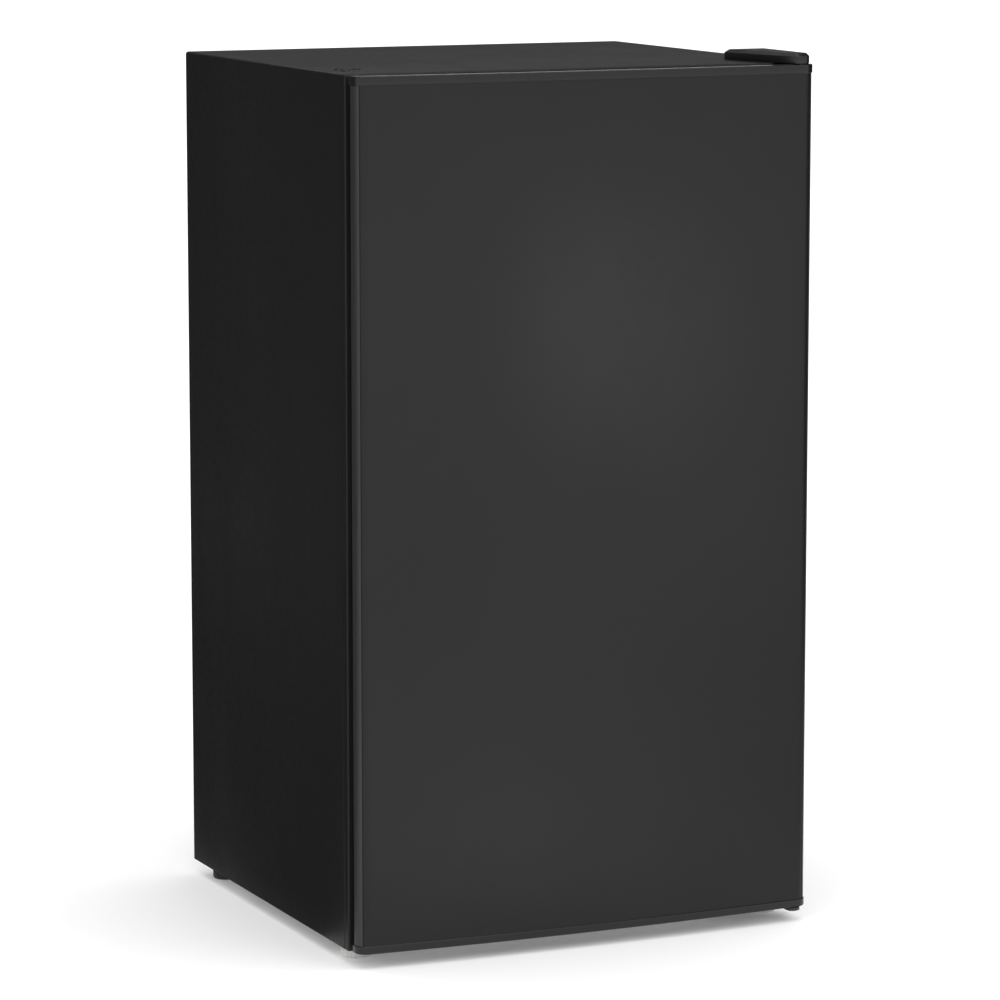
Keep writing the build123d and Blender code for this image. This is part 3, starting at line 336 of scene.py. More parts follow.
@dataclass(frozen=True)
class BareMetal:
    """Uncoated metal with a rolled, spangled or drawn surface."""

    name: str
    colour: Colour
    gloss: float
    spangle: float = 0.0
    grain: tuple[float, float, float] = (1.0, 1.0, 1.0)
    tarnish: Colour | None = None

    def build(self) -> bpy.types.Material:
        """Make the material.

        Returns:
            The new material.
        """
        g = Graph(self.name)
        dull = self.tarnish or shade(self.colour, 0.78)
        cloud = g.spread(g.noise(24.0, 5.0, 0.6), 0.0, 1.0)
        if self.spangle:
            flake = g.spread(g.cells(self.spangle, "Color"), 0.0, 1.0, 0.0, 1.0)
            cloud = g.add(cloud, flake, "MULTIPLY")
        g.link(g.blend(cloud, self.colour, dull), "Base Color")
        drawn = g.noise(300.0, 3.0, 0.6, g.stretch(self.grain))
        g.link(g.spread(drawn, self.gloss - 0.08, self.gloss + 0.12), "Roughness")
        g.bump(drawn, 0.08, 0.0002)
        g.set(metallic=1.0)
        return g.material


@dataclass(frozen=True)
class SoftSeal:
    """Soft black or dark rubber with a matt bloom."""

    name: str
    colour: Colour

    def build(self) -> bpy.types.Material:
        """Make the material.

        Returns:
            The new material.
        """
        g = Graph(self.name)
        bloom = g.noise(55.0, 4.0, 0.6)
        g.link(g.blend(g.spread(bloom, 0.0, 1.0), shade(self.colour, 0.8),
                       shade(self.colour, 1.3)), "Base Color")
        g.link(g.spread(bloom, 0.58, 0.74), "Roughness")
        g.bump(g.noise(1400.0, 2.0), 0.15, 0.0002)
        g.set(specular_ior_level=0.3)
        return g.material


@dataclass(frozen=True)
class FoamFill:
    """Rigid insulating foam with open cells where it is cut."""

    name: str
    colour: Colour

    def build(self) -> bpy.types.Material:
        """Make the material.

        Returns:
            The new material.
        """
        g = Graph(self.name)
        cell = g.cells(700.0, "Distance")
        # Cell pits are painted darker than their rims: painted shade in the open cells, on top of
        # the bump.
        g.link(g.blend(g.spread(cell, 0.0, 1.0, 0.0, 0.6), shade(self.colour, 0.8), self.colour),
               "Base Color")
        g.link(g.spread(cell, 0.8, 0.95, 0.0, 0.6), "Roughness")
        g.bump(cell, 0.4, 0.0006)
        return g.material


BLACK = (0.0075, 0.0075, 0.008)
FINISHES = {
    "black_enamel": Enamel("black_enamel", BLACK, 0.41, 0.26, pebble=0.05),
    "back_enamel": Enamel("back_enamel", (0.012, 0.012, 0.012), 0.5, 0.4),
    "black_cap_plastic": Moulding("black_cap_plastic", (0.0085, 0.0085, 0.009), 0.2, specular=0.36),
    "galvanised_sheet": BareMetal("galvanised_sheet", (0.56, 0.57, 0.58), 0.42, spangle=90.0),
    "white_liner": Moulding("white_liner", (0.75, 0.76, 0.76), 0.3, 0.05, 900.0, flow=0.02),
    "foam": FoamFill("foam", (0.80, 0.70, 0.46)),
    "gasket_rubber": SoftSeal("gasket_rubber", (0.010, 0.010, 0.011)),
    "nylon": Moulding("nylon", (0.62, 0.62, 0.60), 0.42, 0.1, subsurface=0.15),
    "black_moulding": Moulding("black_moulding", (0.012, 0.012, 0.012), 0.5, 0.2),
    "hinge_steel": Enamel("hinge_steel", (0.010, 0.010, 0.010), 0.38),
    "bright_steel": BareMetal("bright_steel", (0.60, 0.60, 0.61), 0.3),
    "clear_plastic": ClearWall("clear_plastic", (0.90, 0.95, 0.97), 1.57, 0.05),
    "shelf_glass": ClearWall("shelf_glass", (0.90, 0.97, 0.94), 1.52, 0.01),
    "white_trim": Moulding("white_trim", (0.82, 0.82, 0.81), 0.3, 0.08, flow=0.02),
    "flap_plastic": Moulding("flap_plastic", (0.70, 0.79, 0.84), 0.22, 0.06, subsurface=0.25),
    "evaporator_aluminium": BareMetal("evaporator_aluminium", (0.74, 0.75, 0.77), 0.36,
                                      grain=(0.1, 1.0, 1.0)),
    "compressor_black": Enamel("compressor_black", (0.007, 0.007, 0.007), 0.22, 0.5, 0.25,
                               120.0),
    "motor_iron": BareMetal("motor_iron", (0.28, 0.27, 0.26), 0.55),
    "mount_rubber": SoftSeal("mount_rubber", (0.012, 0.012, 0.012)),
    "copper": BareMetal("copper", (0.80, 0.42, 0.27), 0.26, tarnish=(0.33, 0.17, 0.11)),
}


EDGE_FINISH = Moulding("door_edge_plastic", (0.018, 0.018, 0.0187), 0.46, 0.3, 900.0)
COVER_FINISH = Moulding("hinge_cover_plastic", (0.010, 0.010, 0.0105), 0.36, specular=0.34)
# The crown finish is a lighter, glossier copy of the cap plastic: a painted highlight along the
# door top cap's upper edge.
CROWN_HIGHLIGHT_FINISH = Moulding("cap_crown_plastic", (0.016, 0.016, 0.0165), 0.13, 0.04, specular=0.7,
                        flow=0.02)
PLUG_FINISH = Moulding("plug_plastic", (0.008, 0.008, 0.0085), 0.1, 0.02, specular=0.6)


class Wardrobe:
    """Every finish, made once, and the record's list of which node wears which."""

    def __init__(self) -> None:
        """Make the finishes and read the node list."""
        self.made = {slot: finish.build() for slot, finish in FINISHES.items()}
        self.edge_finish = EDGE_FINISH.build()
        self.crown_finish = CROWN_HIGHLIGHT_FINISH.build()
        self.own = {"hinge_cover": COVER_FINISH.build(), "spare_hole_plugs": PLUG_FINISH.build()}
        self.slots = {s["node"]: s["material_slot"] for s in frame["record"]["subparts"]}
        self.bodies = {node: body for body, nodes in
                       frame["record"]["behaviour"]["bodies"].items() for node in nodes}

    def dress_frame(self) -> None:
        """Give every CAD node its finish on each of its own material slots."""
        for node, thing in frame["nodes"].items():
            finish = self.made[self.slots[node]]
            for index in range(len(thing.material_slots)):
                thing.material_slots[index].material = finish

    def dress(self, piece: bpy.types.Object, node: str, *others: str) -> bpy.types.Object:
        """Put a piece in a node's place: its finish and its body, with the node hidden.

        Args:
            piece: the new piece.
            node: the CAD node whose finish and body it takes.
            *others: more CAD nodes that it stands for.

        Returns:
            The same piece.
        """
        piece.data.materials.clear()
        piece.data.materials.append(self.own.get(node, self.made[self.slots[node]]))
        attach(piece, self.bodies[node])
        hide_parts(node, *others)
        if isinstance(FINISHES[self.slots[node]], ClearWall):
            # Clear walls let the room's light through to what is behind them.
            piece.visible_shadow = False
            piece.visible_diffuse = False
        LOG.info("%s rides on %s", piece.name, self.bodies[node])
        return piece

    def fit(self, piece: bpy.types.Object, body: str, slot: str,
            finish: bpy.types.Material) -> None:
        """Fix an extra piece to a body.

        Args:
            piece: the new piece.
            body: the body that carries it.
            slot: the record's material slot that it belongs to; not used.
            finish: its own finish.
        """
        piece.data.materials.clear()
        piece.data.materials.append(finish)
        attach(piece, body)
        LOG.info("%s rides on %s", piece.name, body)


# ---- Mesh work ----
class Workshop:
    """Ways of making meshes that every sub-assembly shares."""

    @staticmethod
    def piece(name: str, bm: bmesh.types.BMesh, smooth: float = 32.0) -> bpy.types.Object:
        """Turn a bmesh into a linked object with smooth curves and crisp corners.

        Args:
            name: the object's name.
            bm: the mesh, which is freed.
            smooth: angle in degrees above which an edge stays crisp.

        Returns:
            The new object.
        """
        bmesh.ops.recalc_face_normals(bm, faces=bm.faces)
        mesh = bpy.data.meshes.new(name)
        bm.to_mesh(mesh)
        bm.free()
        for polygon in mesh.polygons:
            polygon.use_smooth = True
        mesh.set_sharp_from_angle(angle=math.radians(smooth))
        thing = bpy.data.objects.new(name, mesh)
        bpy.context.scene.collection.objects.link(thing)
        return thing

    @staticmethod
    def stack(bm: bmesh.types.BMesh, loops: Sequence[Sequence[Vector]], closed: bool = True,
              capped: bool = True) -> None:
        """Skin a stack of loops that have the same number of points.

        Args:
            bm: the mesh to add to.
            loops: the loops, first to last.
            closed: whether each loop joins back on itself.
            capped: whether the first and last loops are filled.
        """
        rows = [[bm.verts.new(p) for p in loop] for loop in loops]
        count = len(rows[0])
        for low, high in zip(rows, rows[1:]):
            for i in range(count if closed else count - 1):
                j = (i + 1) % count
                bm.faces.new((low[i], low[j], high[j], high[i]))
        if capped:
            bm.faces.new(list(reversed(rows[0])))
            bm.faces.new(rows[-1])

    @staticmethod
    def ring(bm: bmesh.types.BMesh, loops: Sequence[Sequence[Vector]]) -> None:
        """Skin a ring of loops: the last joins the first, as round a window's frame.

        Args:
            bm: the mesh to add to.
            loops: the loops, in order round the ring.
        """
        rows = [[bm.verts.new(p) for p in loop] for loop in loops]
        count = len(rows[0])
        for low, high in zip(rows, rows[1:] + rows[:1]):
            for i in range(count):
                j = (i + 1) % count
                bm.faces.new((low[i], low[j], high[j], high[i]))

    @staticmethod
    def turned(name: str, profile: Sequence[Point2], centre: Vector, steps: int = 48,
               ribs: int = 0, rib_depth: float = 0.0, smooth: float = 32.0) -> bpy.types.Object:
        """Turn a profile about an upright axis.

        Args:
            name: the object's name.
            profile: (radius, height) points from the bottom to the top.
            centre: point on the axis that heights are counted from.
            steps: points round the circle.
            ribs: number of grip ribs round the widest part, or 0.
            rib_depth: how deep the grooves between the ribs are.
            smooth: angle above which an edge stays crisp.

        Returns:
            The new object.
        """
        widest = max(r for r, _ in profile)
        bm = bmesh.new()
        loops = []
        for radius, height in profile:
            loop = []
            for i in range(steps):
                turn = 2 * math.pi * i / steps
                grip = 0.5 - 0.5 * math.cos(turn * ribs) if ribs and radius > widest * 0.96 else 0
                r = radius - rib_depth * grip
                loop.append(centre + Vector((r * math.cos(turn), r * math.sin(turn), height)))
            loops.append(loop)
        Workshop.stack(bm, loops)
        return Workshop.piece(name, bm, smooth)

    @staticmethod
    def softened(node: str, width: float, segments: int = 2, angle: float = 34.0
                 ) -> bpy.types.Object:
        """Remake a CAD node's form with its sharp edges rounded.

        Args:
            node: the CAD node.
            width: width of the rounding in metres.
            segments: number of steps in the rounding.
            angle: edges sharper than this many degrees are rounded.

        Returns:
            The new object, named after the node.
        """
        bm = bmesh.new()
        bm.from_mesh(frame["nodes"][node].data)
        bmesh.ops.remove_doubles(bm, verts=bm.verts, dist=WELD_DISTANCE)
        bmesh.ops.dissolve_limit(bm, angle_limit=math.radians(0.4), verts=bm.verts,
                                 edges=bm.edges)
        piece = Workshop.piece(f"{node}_form", bm)
        bevel = piece.modifiers.new("round", "BEVEL")
        bevel.width = width
        bevel.segments = segments
        bevel.limit_method = "ANGLE"
        bevel.angle_limit = math.radians(angle)
        bevel.use_clamp_overlap = True
        bevel.harden_normals = False
        Workshop.apply(piece)
        piece.data.set_sharp_from_angle(angle=math.radians(40.0))
        return piece

    @staticmethod
    def apply(piece: bpy.types.Object) -> None:
        """Apply every modifier on a piece to its mesh.

        Args:
            piece: the piece.
        """
        bpy.context.view_layer.update()
        graph = bpy.context.evaluated_depsgraph_get()
        mesh = bpy.data.meshes.new_from_object(piece.evaluated_get(graph))
        piece.modifiers.clear()
        piece.data = mesh

    @staticmethod
    def revolved(bm: bmesh.types.BMesh, section: Sequence[Point2], centre: Vector,
                 steps: int = 40) -> None:
        """Turn a closed section about an upright axis, leaving a hole up the middle.

        Args:
            bm: the mesh to add to.
            section: (radius, height) points round the section.
            centre: point on the axis that heights are counted from.
            steps: points round the circle.
        """
        turns = [2 * math.pi * i / steps for i in range(steps)]
        Workshop.ring(bm, [[centre + Vector((r * math.cos(t), r * math.sin(t), z))
                            for r, z in section] for t in turns])

    @staticmethod
    def islands(node: str) -> list[tuple[Vector, Vector]]:
        """Find the boxes of a CAD node's separate solids.

        Args:
            node: the CAD node.

        Returns:
            The lowest and highest corner of each solid.
        """
        bm = bmesh.new()
        bm.from_mesh(frame["nodes"][node].data)
        bmesh.ops.remove_doubles(bm, verts=bm.verts, dist=WELD_DISTANCE)
        boxes = []
        for first in bm.verts:
            if first.tag:
                continue
            first.tag = True
            group = [first]
            for vert in group:
                for edge in vert.link_edges:
                    other = edge.other_vert(vert)
                    if not other.tag:
                        other.tag = True
                        group.append(other)
            corners = [[v.co[axis] for v in group] for axis in range(3)]
            boxes.append((Vector([min(c) for c in corners]), Vector([max(c) for c in corners])))
        bm.free()
        return boxes


def box_foot(low: Vector, high: Vector) -> Vector:
    """Middle of a box's underside."""
    return Vector(((low.x + high.x) / 2, (low.y + high.y) / 2, low.z))


def quarter(steps: int) -> list[Point2]:
    """(cosine, sine) pairs round a quarter turn, both ends included."""
    return [(math.cos(math.pi / 2 * i / steps), math.sin(math.pi / 2 * i / steps))
            for i in range(steps + 1)]


# ---- Sub-assemblies ----
@dataclass
class DoorPlan:
    """Plan of the door: straight back and sides, rounded front corners and a bowed front."""

    half: float
    rear: float
    apex: float
    bow: float = 8.5 * MM
    corner: float = 10.6 * MM
    front_steps: int = 96
    corner_steps: int = 12
    seam: float = math.radians(55.0)
    seam_half: float = math.radians(2.8)
    seam_depth: float = 0.0

    def corner_point(self, turn: float, inset: float) -> Point2:
        """A point on the right corner.

        Args:
            turn: angle round the corner, from 0 at the side to a quarter turn at the front.
            inset: how far the outline is drawn in.

        Returns:
            The point's x and y.
        """
        big = (self.half ** 2 + self.bow ** 2) / (2 * self.bow)
        corner_x = self.half - self.corner
        corner_y = self.apex + big - math.sqrt((big - self.corner) ** 2 - corner_x ** 2)
        away = abs(turn - self.seam)
        groove = self.seam_depth * (1.0 if away < self.seam_half * 0.9 else 0.0)
        r = self.corner - inset - groove
        return corner_x + r * math.cos(turn), corner_y - r * math.sin(turn)

    def outline(self, inset: float = 0.0, rear: float | None = None) -> list[Point2]:
        """Points from the rear left, round the front, to the rear right.

        Args:
            inset: how far the outline is drawn in.
            rear: where its ends stop, or None for the plan's own back.

        Returns:
            (x, y) points.
        """
        big = (self.half ** 2 + self.bow ** 2) / (2 * self.bow)
        centre_y = self.apex + big
        swing = math.asin((self.half - self.corner) / (big - self.corner))
        big -= inset
        back = self.rear if rear is None else rear
        last = math.pi / 2 - swing
        turns = [last * i / self.corner_steps for i in range(self.corner_steps)]
        if self.seam_depth:
            turns = [t for t in turns if abs(t - self.seam) > self.seam_half * 1.2]
            turns += [self.seam + self.seam_half * k for k in (-1.0, -0.88, 0.0, 0.88, 1.0)]
        half = [self.corner_point(t, inset) for t in sorted(turns)]
        arc = [(big * math.sin(t), centre_y - big * math.cos(t))
               for t in (swing * (1 - 2 * i / self.front_steps)
                         for i in range(self.front_steps + 1))]
        right = [(self.half - inset, back), *half]
        left = [(-x, y) for x, y in reversed(right)]
        return list(reversed(right + arc + left))


@dataclass
class Door:
    """The door's outside: bowed skin, two end caps and the seal behind them."""

    wardrobe: Wardrobe
    sheet: float = 0.8 * MM
    lip: float = 9.0 * MM
    edge_radius: float = 1.5 * MM
    shadow_gap: float = 0.5 * MM
    shadow_depth: float = 1.0 * MM
    seam_depth: float = 0.75 * MM
    trim_lift: float = 0.25 * MM
    trim_sink: float = 0.1 * MM
    crown_width: float = 3.0 * MM
    crown_drop: float = 0.45 * MM

    def build_skin(self) -> None:
        """Wrap the painted sheet round the front and both sides."""
        low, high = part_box("door_skin")
        plan = DoorPlan(high.x, high.y, low.y, seam_depth=self.seam_depth)
        outer = plan.outline()
        plan.seam_depth = 0.0
        inner = plan.outline(self.sheet * 1.6, rear=high.y - self.sheet)
        lip_x = high.x - self.lip
        section = ([(-lip_x, high.y)] + outer + [(lip_x, high.y), (lip_x, high.y - self.sheet)]
                   + list(reversed(inner)) + [(-lip_x, high.y - self.sheet)])
        bm = bmesh.new()
        levels = [low.z + (high.z - low.z) * i / 12 for i in range(13)]
        Workshop.stack(bm, [[Vector((x, y, z)) for x, y in section] for z in levels])
        self.wardrobe.dress(Workshop.piece("door_front_sheet", bm), "door_skin")

    def build_cap(self, node: str, upper: bool) -> None:
        """Make one end cap with a rounded outer edge and a shadow gap against the skin.

        Args:
            node: the CAD node of the cap.
            upper: True for the cap on the door's top.
        """
        low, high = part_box(node)
        plan = DoorPlan(high.x, high.y, low.y)
        r = self.edge_radius
        seam, outer = (low.z, high.z) if upper else (high.z, low.z)
        way = 1 if upper else -1
        steps = [(seam, self.shadow_depth), (seam + way * self.shadow_gap, self.shadow_depth),
                 (seam + way * self.shadow_gap, 0.25 * MM),
                 (seam + way * (self.shadow_gap + 0.25 * MM), 0.0)]
        if upper:
            r, brow = self.edge_radius * 0.5, outer - self.crown_drop
            steps += [(brow - r * (1 - s), r * (1 - c)) for c, s in quarter(4)[:-1]]
            crown = [(brow + self.crown_drop * (0.06 + 0.94 * k), r + self.crown_width * k ** 1.3)
                     for k in (0.0, 0.3, 0.6, 0.85, 1.0)]
            steps.append(crown[0])
            top = self.cap_layer(f"{node}_crown", plan, high.y, crown)
            # The crown wears the lighter, glossier copy of the cap plastic: a painted highlight
            # along the top cap's edge.
            self.wardrobe.fit(top, "door", "black_cap_plastic", self.wardrobe.crown_finish)
        else:
            steps = [(seam, 0.9 * MM), (seam - 0.25 * MM, 0.35 * MM), (seam - 0.7 * MM, 0.0)]
            steps += [(outer + r * (1 - s), r * (1 - c)) for c, s in quarter(5)]
        self.wardrobe.dress(self.cap_layer(f"{node}_moulding", plan, high.y, steps), node)

    @staticmethod
    def cap_layer(name: str, plan: DoorPlan, rear: float, steps: Sequence[Point2]
                  ) -> bpy.types.Object:
        """Stack the door's outline through a list of levels.

        Args:
            name: the layer's name.
            plan: the door's plan.
            rear: y of the layer's back before it is drawn in.
            steps: (height, inset) of each level.

        Returns:
            The layer.
        """
        bm = bmesh.new()
        Workshop.stack(bm, [[Vector((x, y, z)) for x, y in plan.outline(inset, rear=rear - inset)]
                            for z, inset in steps])
        return Workshop.piece(name, bm)

    def build_edge_profile(self, side: int) -> None:
        """Lay the moulded edge profile over the skin's side and half of its corner.

        Args:
            side: -1 for the left edge, 1 for the right.
        """
        low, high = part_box("door_skin")
        plan = DoorPlan(high.x, high.y, low.y)
        end = plan.seam - plan.seam_half
        turns = [end * i / 8 for i in range(9)]

        def run(lift: float, stop: float) -> list[Point2]:
            """Points from the rear to the seam, lifted off the skin."""
            return [(high.x + lift, high.y), *(plan.corner_point(min(t, stop), -lift)
                                               for t in turns)]

        outside = run(self.trim_lift, end - 0.02)
        inside = run(-self.trim_sink, end)
        section = outside + list(reversed(inside))
        bm = bmesh.new()
        levels = [low.z + (high.z - low.z) * i / 12 for i in range(13)]
        Workshop.stack(bm, [[Vector((side * x, y, z)) for x, y in section] for z in levels])
        name = "door_edge_left" if side < 0 else "door_edge_right"
        piece = Workshop.piece(name, bm)
        self.wardrobe.fit(piece, "door", "black_cap_plastic", self.wardrobe.edge_finish)

    def build_seal(self) -> None:
        """Run the folded magnetic seal round the door, mitred at its corners."""
        low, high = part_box("door_gasket")
        depth = high.y - low.y
        width = 16.0 * MM
        profile = [(0.0, 1.0), (0.0, 0.80), (0.10, 0.74), (0.16, 0.60), (0.06, 0.48),
                   (0.10, 0.30), (0.16, 0.10), (0.22, 0.0), (0.40, 0.0), (0.44, 0.06),
                   (0.50, 0.0), (0.78, 0.0), (0.86, 0.10), (0.92, 0.30), (0.90, 0.52),
                   (0.82, 0.66), (0.92, 0.80), (1.0, 0.84), (1.0, 1.0)]
        loops = []
        corners = ((-1, -1), (1, -1), (1, 1), (-1, 1))
        for sx, sz in corners:
            loop = []
            for across, deep in profile:
                inset = across * width
                x = sx * (high.x - inset)
                z = (high.z - inset) if sz > 0 else (low.z + inset)
                loop.append(Vector((x, low.y + deep * depth, z)))
            loops.append(loop)
        bm = bmesh.new()
        Workshop.ring(bm, loops)
        seal = Workshop.piece("door_seal", bm, 50.0)
        self.wardrobe.dress(seal, "door_gasket")

    def build(self) -> None:
        """Make every piece of the door's outside."""
        self.build_skin()
        self.build_cap("door_top_cap", True)
        self.build_cap("door_bottom_cap", False)
        self.build_edge_profile(-1)
        self.build_edge_profile(1)
        self.build_seal()


@dataclass
class Cabinet:
    """The wrapped outer sheet with its rounded corners and its pressed line."""

    wardrobe: Wardrobe
    sheet: float = 0.8 * MM
    top_radius: float = 3.0 * MM
    front_radius: float = 1.6 * MM
    flange: float = 15.0 * MM
    rear_flange: float = 11.0 * MM
    bead_setback: float = 8.0 * MM
    bead_width: float = 1.8 * MM
    bead_depth: float = 0.45 * MM

    def section(self, front: float, rear: float) -> list[Point2]:
        """Cross-section of the sheet from its front flange to its rear flange.

        Args:
            front: y of the front face.
            rear: y of the back.

        Returns:
            (y, inset) points round the closed section.
        """
        r, t = self.front_radius, self.sheet
        bead = front + self.bead_setback
        w, d = self.bead_width, self.bead_depth
        outside = [(front, self.flange + t)]
        outside += [(front + r * (1 - s), r * (1 - c)) for c, s in
                    [(math.sin(a), math.cos(a)) for a in
                     (math.pi / 2 * i / 6 for i in range(7))]]
        outside += [(bead - 0.3 * MM, 0.0), (bead, d * 0.5), (bead + w * 0.25, d),
                    (bead + w * 0.75, d), (bead + w, d * 0.5), (bead + w + 0.3 * MM, 0.0)]
        outside += [(rear - 0.5 * MM, 0.0), (rear - 0.15 * MM, 0.15 * MM), (rear, 0.5 * MM)]
        inside = [(rear, t), (rear - t, t), (rear - t, t + self.rear_flange),
                  (rear - 2 * t, t + self.rear_flange), (rear - 2 * t, t)]
        inside += [(front + t + 0.6 * MM, t), (front + t, t + 0.6 * MM),
                   (front + t, self.flange + t)]
        return outside + inside

    def path(self, low: Vector, high: Vector, inset: float) -> list[Point2]:
        """Points up the left side, over the top and down the right side.

        Args:
            low: lowest corner of the cabinet's sheet.
            high: highest corner of the cabinet's sheet.
            inset: how far the path is drawn in.

        Returns:
            (x, z) points.
        """
        r = max(self.top_radius - inset, 0.2 * MM)
        x, z = high.x - inset, high.z - inset
        corner = [(x - r + r * c, z - r + r * s) for c, s in quarter(6)]
        right = [(x, low.z)] + corner
        return [(-px, pz) for px, pz in right] + list(reversed(right))

    def build(self) -> None:
        """Make the wrapped sheet."""
        low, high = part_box("outer_shell")
        loops = []
        for y, inset in self.section(low.y, high.y):
            loops.append([Vector((x, y, z)) for x, z in self.path(low, high, inset)])
        bm = bmesh.new()
        rows = [[bm.verts.new(p) for p in loop] for loop in loops]
        count = len(rows[0])
        for a, b in zip(rows, rows[1:] + rows[:1]):
            for i in range(count - 1):
                bm.faces.new((a[i], a[i + 1], b[i + 1], b[i]))
        for end in (0, count - 1):
            bm.faces.new([row[end] for row in rows])
        self.wardrobe.dress(Workshop.piece("wrapped_sheet", bm), "outer_shell")


@dataclass
class Feet:
    """Two front levelling feet with ribbed rims."""

    wardrobe: Wardrobe
    ribs: int = 24
    rib_depth: float = 0.7 * MM

    def build_front(self, node: str) -> None:
        """Make one levelling foot.

        Args:
            node: the CAD node of the foot.
        """
        low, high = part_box(node)
        r = (high.x - low.x) / 2
        centre = box_foot(low, high)
        rise = high.z - low.z
        profile = [(0.001, 0.0), (r * 0.80, 0.0), (r * 0.90, 0.5 * MM), (r * 0.97, 1.6 * MM),
                   (r, 2.6 * MM), (r, 6.8 * MM), (r * 0.965, 8.2 * MM), (r * 0.86, 9.0 * MM),
                   (r * 0.64, 9.1 * MM), (r * 0.60, 10.0 * MM), (r * 0.60, 13.4 * MM),
                   (r * 0.27, 13.5 * MM)]
        thread, pitch = 13.5 * MM, 1.25 * MM
        while thread + pitch < rise - 0.8 * MM:
            profile += [(r * 0.225, thread + pitch * 0.5), (r * 0.27, thread + pitch)]
            thread += pitch
        profile += [(r * 0.2, rise), (0.001, rise)]
        foot = Workshop.turned(f"{node}_pad", profile, centre, 144, self.ribs, self.rib_depth)
        self.wardrobe.dress(foot, node)

    def build(self) -> None:
        """Make both front feet."""
        self.build_front("front_foot_left")
        self.build_front("front_foot_right")


class Facing(Enum):
    """Way that a screw's head faces."""

    UP = (0, 1, 2, 1)
    DOWN = (0, 1, 2, -1)
    BACK = (0, 2, 1, 1)


@dataclass
class Screws:
    """Pan-head screws and bolts with a cross recess, one for each solid of a CAD node."""

    wardrobe: Wardrobe
    head_height: float = 1.6 * MM
    recess_reach: float = 0.6
    recess_half: float = 0.15
    recess_depth: float = 0.9 * MM
    shank_share: float = 0.46
    point_length: float = 1.0 * MM
    point_share: float = 0.4
    steps: int = 48
    rings: tuple[float, ...] = (0.03, 0.1, 0.2, 0.3, 0.4, 0.5, 0.58, 0.64, 0.74, 0.84, 0.93, 1.0)
    plan: dict[str, Facing] = field(default_factory=lambda: {
        "top_hinge_screws": Facing.UP, "compressor_bolts": Facing.UP,
        "bottom_hinge_screws": Facing.DOWN, "panel_screws": Facing.BACK,
        "condenser_screws": Facing.BACK})

    def drop(self, share: float, turn: float) -> float:
        """How far the head's surface lies below its crown.

        Args:
            share: distance from the axis as a share of the head's radius.
            turn: angle round the axis.

        Returns:
            The drop in metres.
        """
        dome = self.head_height * (0.18 * share ** 2 + 0.42 * max(share - 0.7, 0.0) / 0.3)
        off_arm = min(abs(math.cos(turn)), abs(math.sin(turn))) * share
        if share < self.recess_reach and off_arm < self.recess_half:
            return dome + self.recess_depth
        return dome

    def build_one(self, bm: bmesh.types.BMesh, low: Vector, high: Vector, facing: Facing) -> None:
        """Add one screw.

        Args:
            bm: the mesh to add to.
            low: lowest corner of the screw's box.
            high: highest corner of the screw's box.
            facing: the way its head faces.
        """
        a, b, axis, way = facing.value
        crown = high[axis] if way > 0 else low[axis]
        radius, length = (high[a] - low[a]) / 2, high[axis] - low[axis]
        middle = (low + high) / 2
        turns = [2 * math.pi * i / self.steps for i in range(self.steps)]

        def loop(r: float, drops: Sequence[float]) -> list[Vector]:
            """Make one ring of points about the screw's axis.

            Args:
                r: the ring's radius.
                drops: how far each point lies below the crown.

            Returns:
                The points.
            """
            points = []
            for turn, drop in zip(turns, drops):
                point = middle.copy()
                point[a] += r * math.cos(turn)
                point[b] += r * math.sin(turn)
                point[axis] = crown - way * drop
                points.append(point)
            return points

        loops = [loop(radius * k, [self.drop(k, t) for t in turns]) for k in self.rings]
        shank = radius * self.shank_share
        for r, deep in ((radius, self.head_height), (shank, self.head_height),
                        (shank, length - self.point_length),
                        (shank * self.point_share, length)):
            loops.append(loop(r, [deep] * self.steps))
        Workshop.stack(bm, loops)

    def build(self) -> None:
        """Make every listed node's screws."""
        for node, facing in self.plan.items():
            bm = bmesh.new()
            for low, high in Workshop.islands(node):
                self.build_one(bm, low, high, facing)
            self.wardrobe.dress(Workshop.piece(f"{node}_heads", bm, 38.0), node)


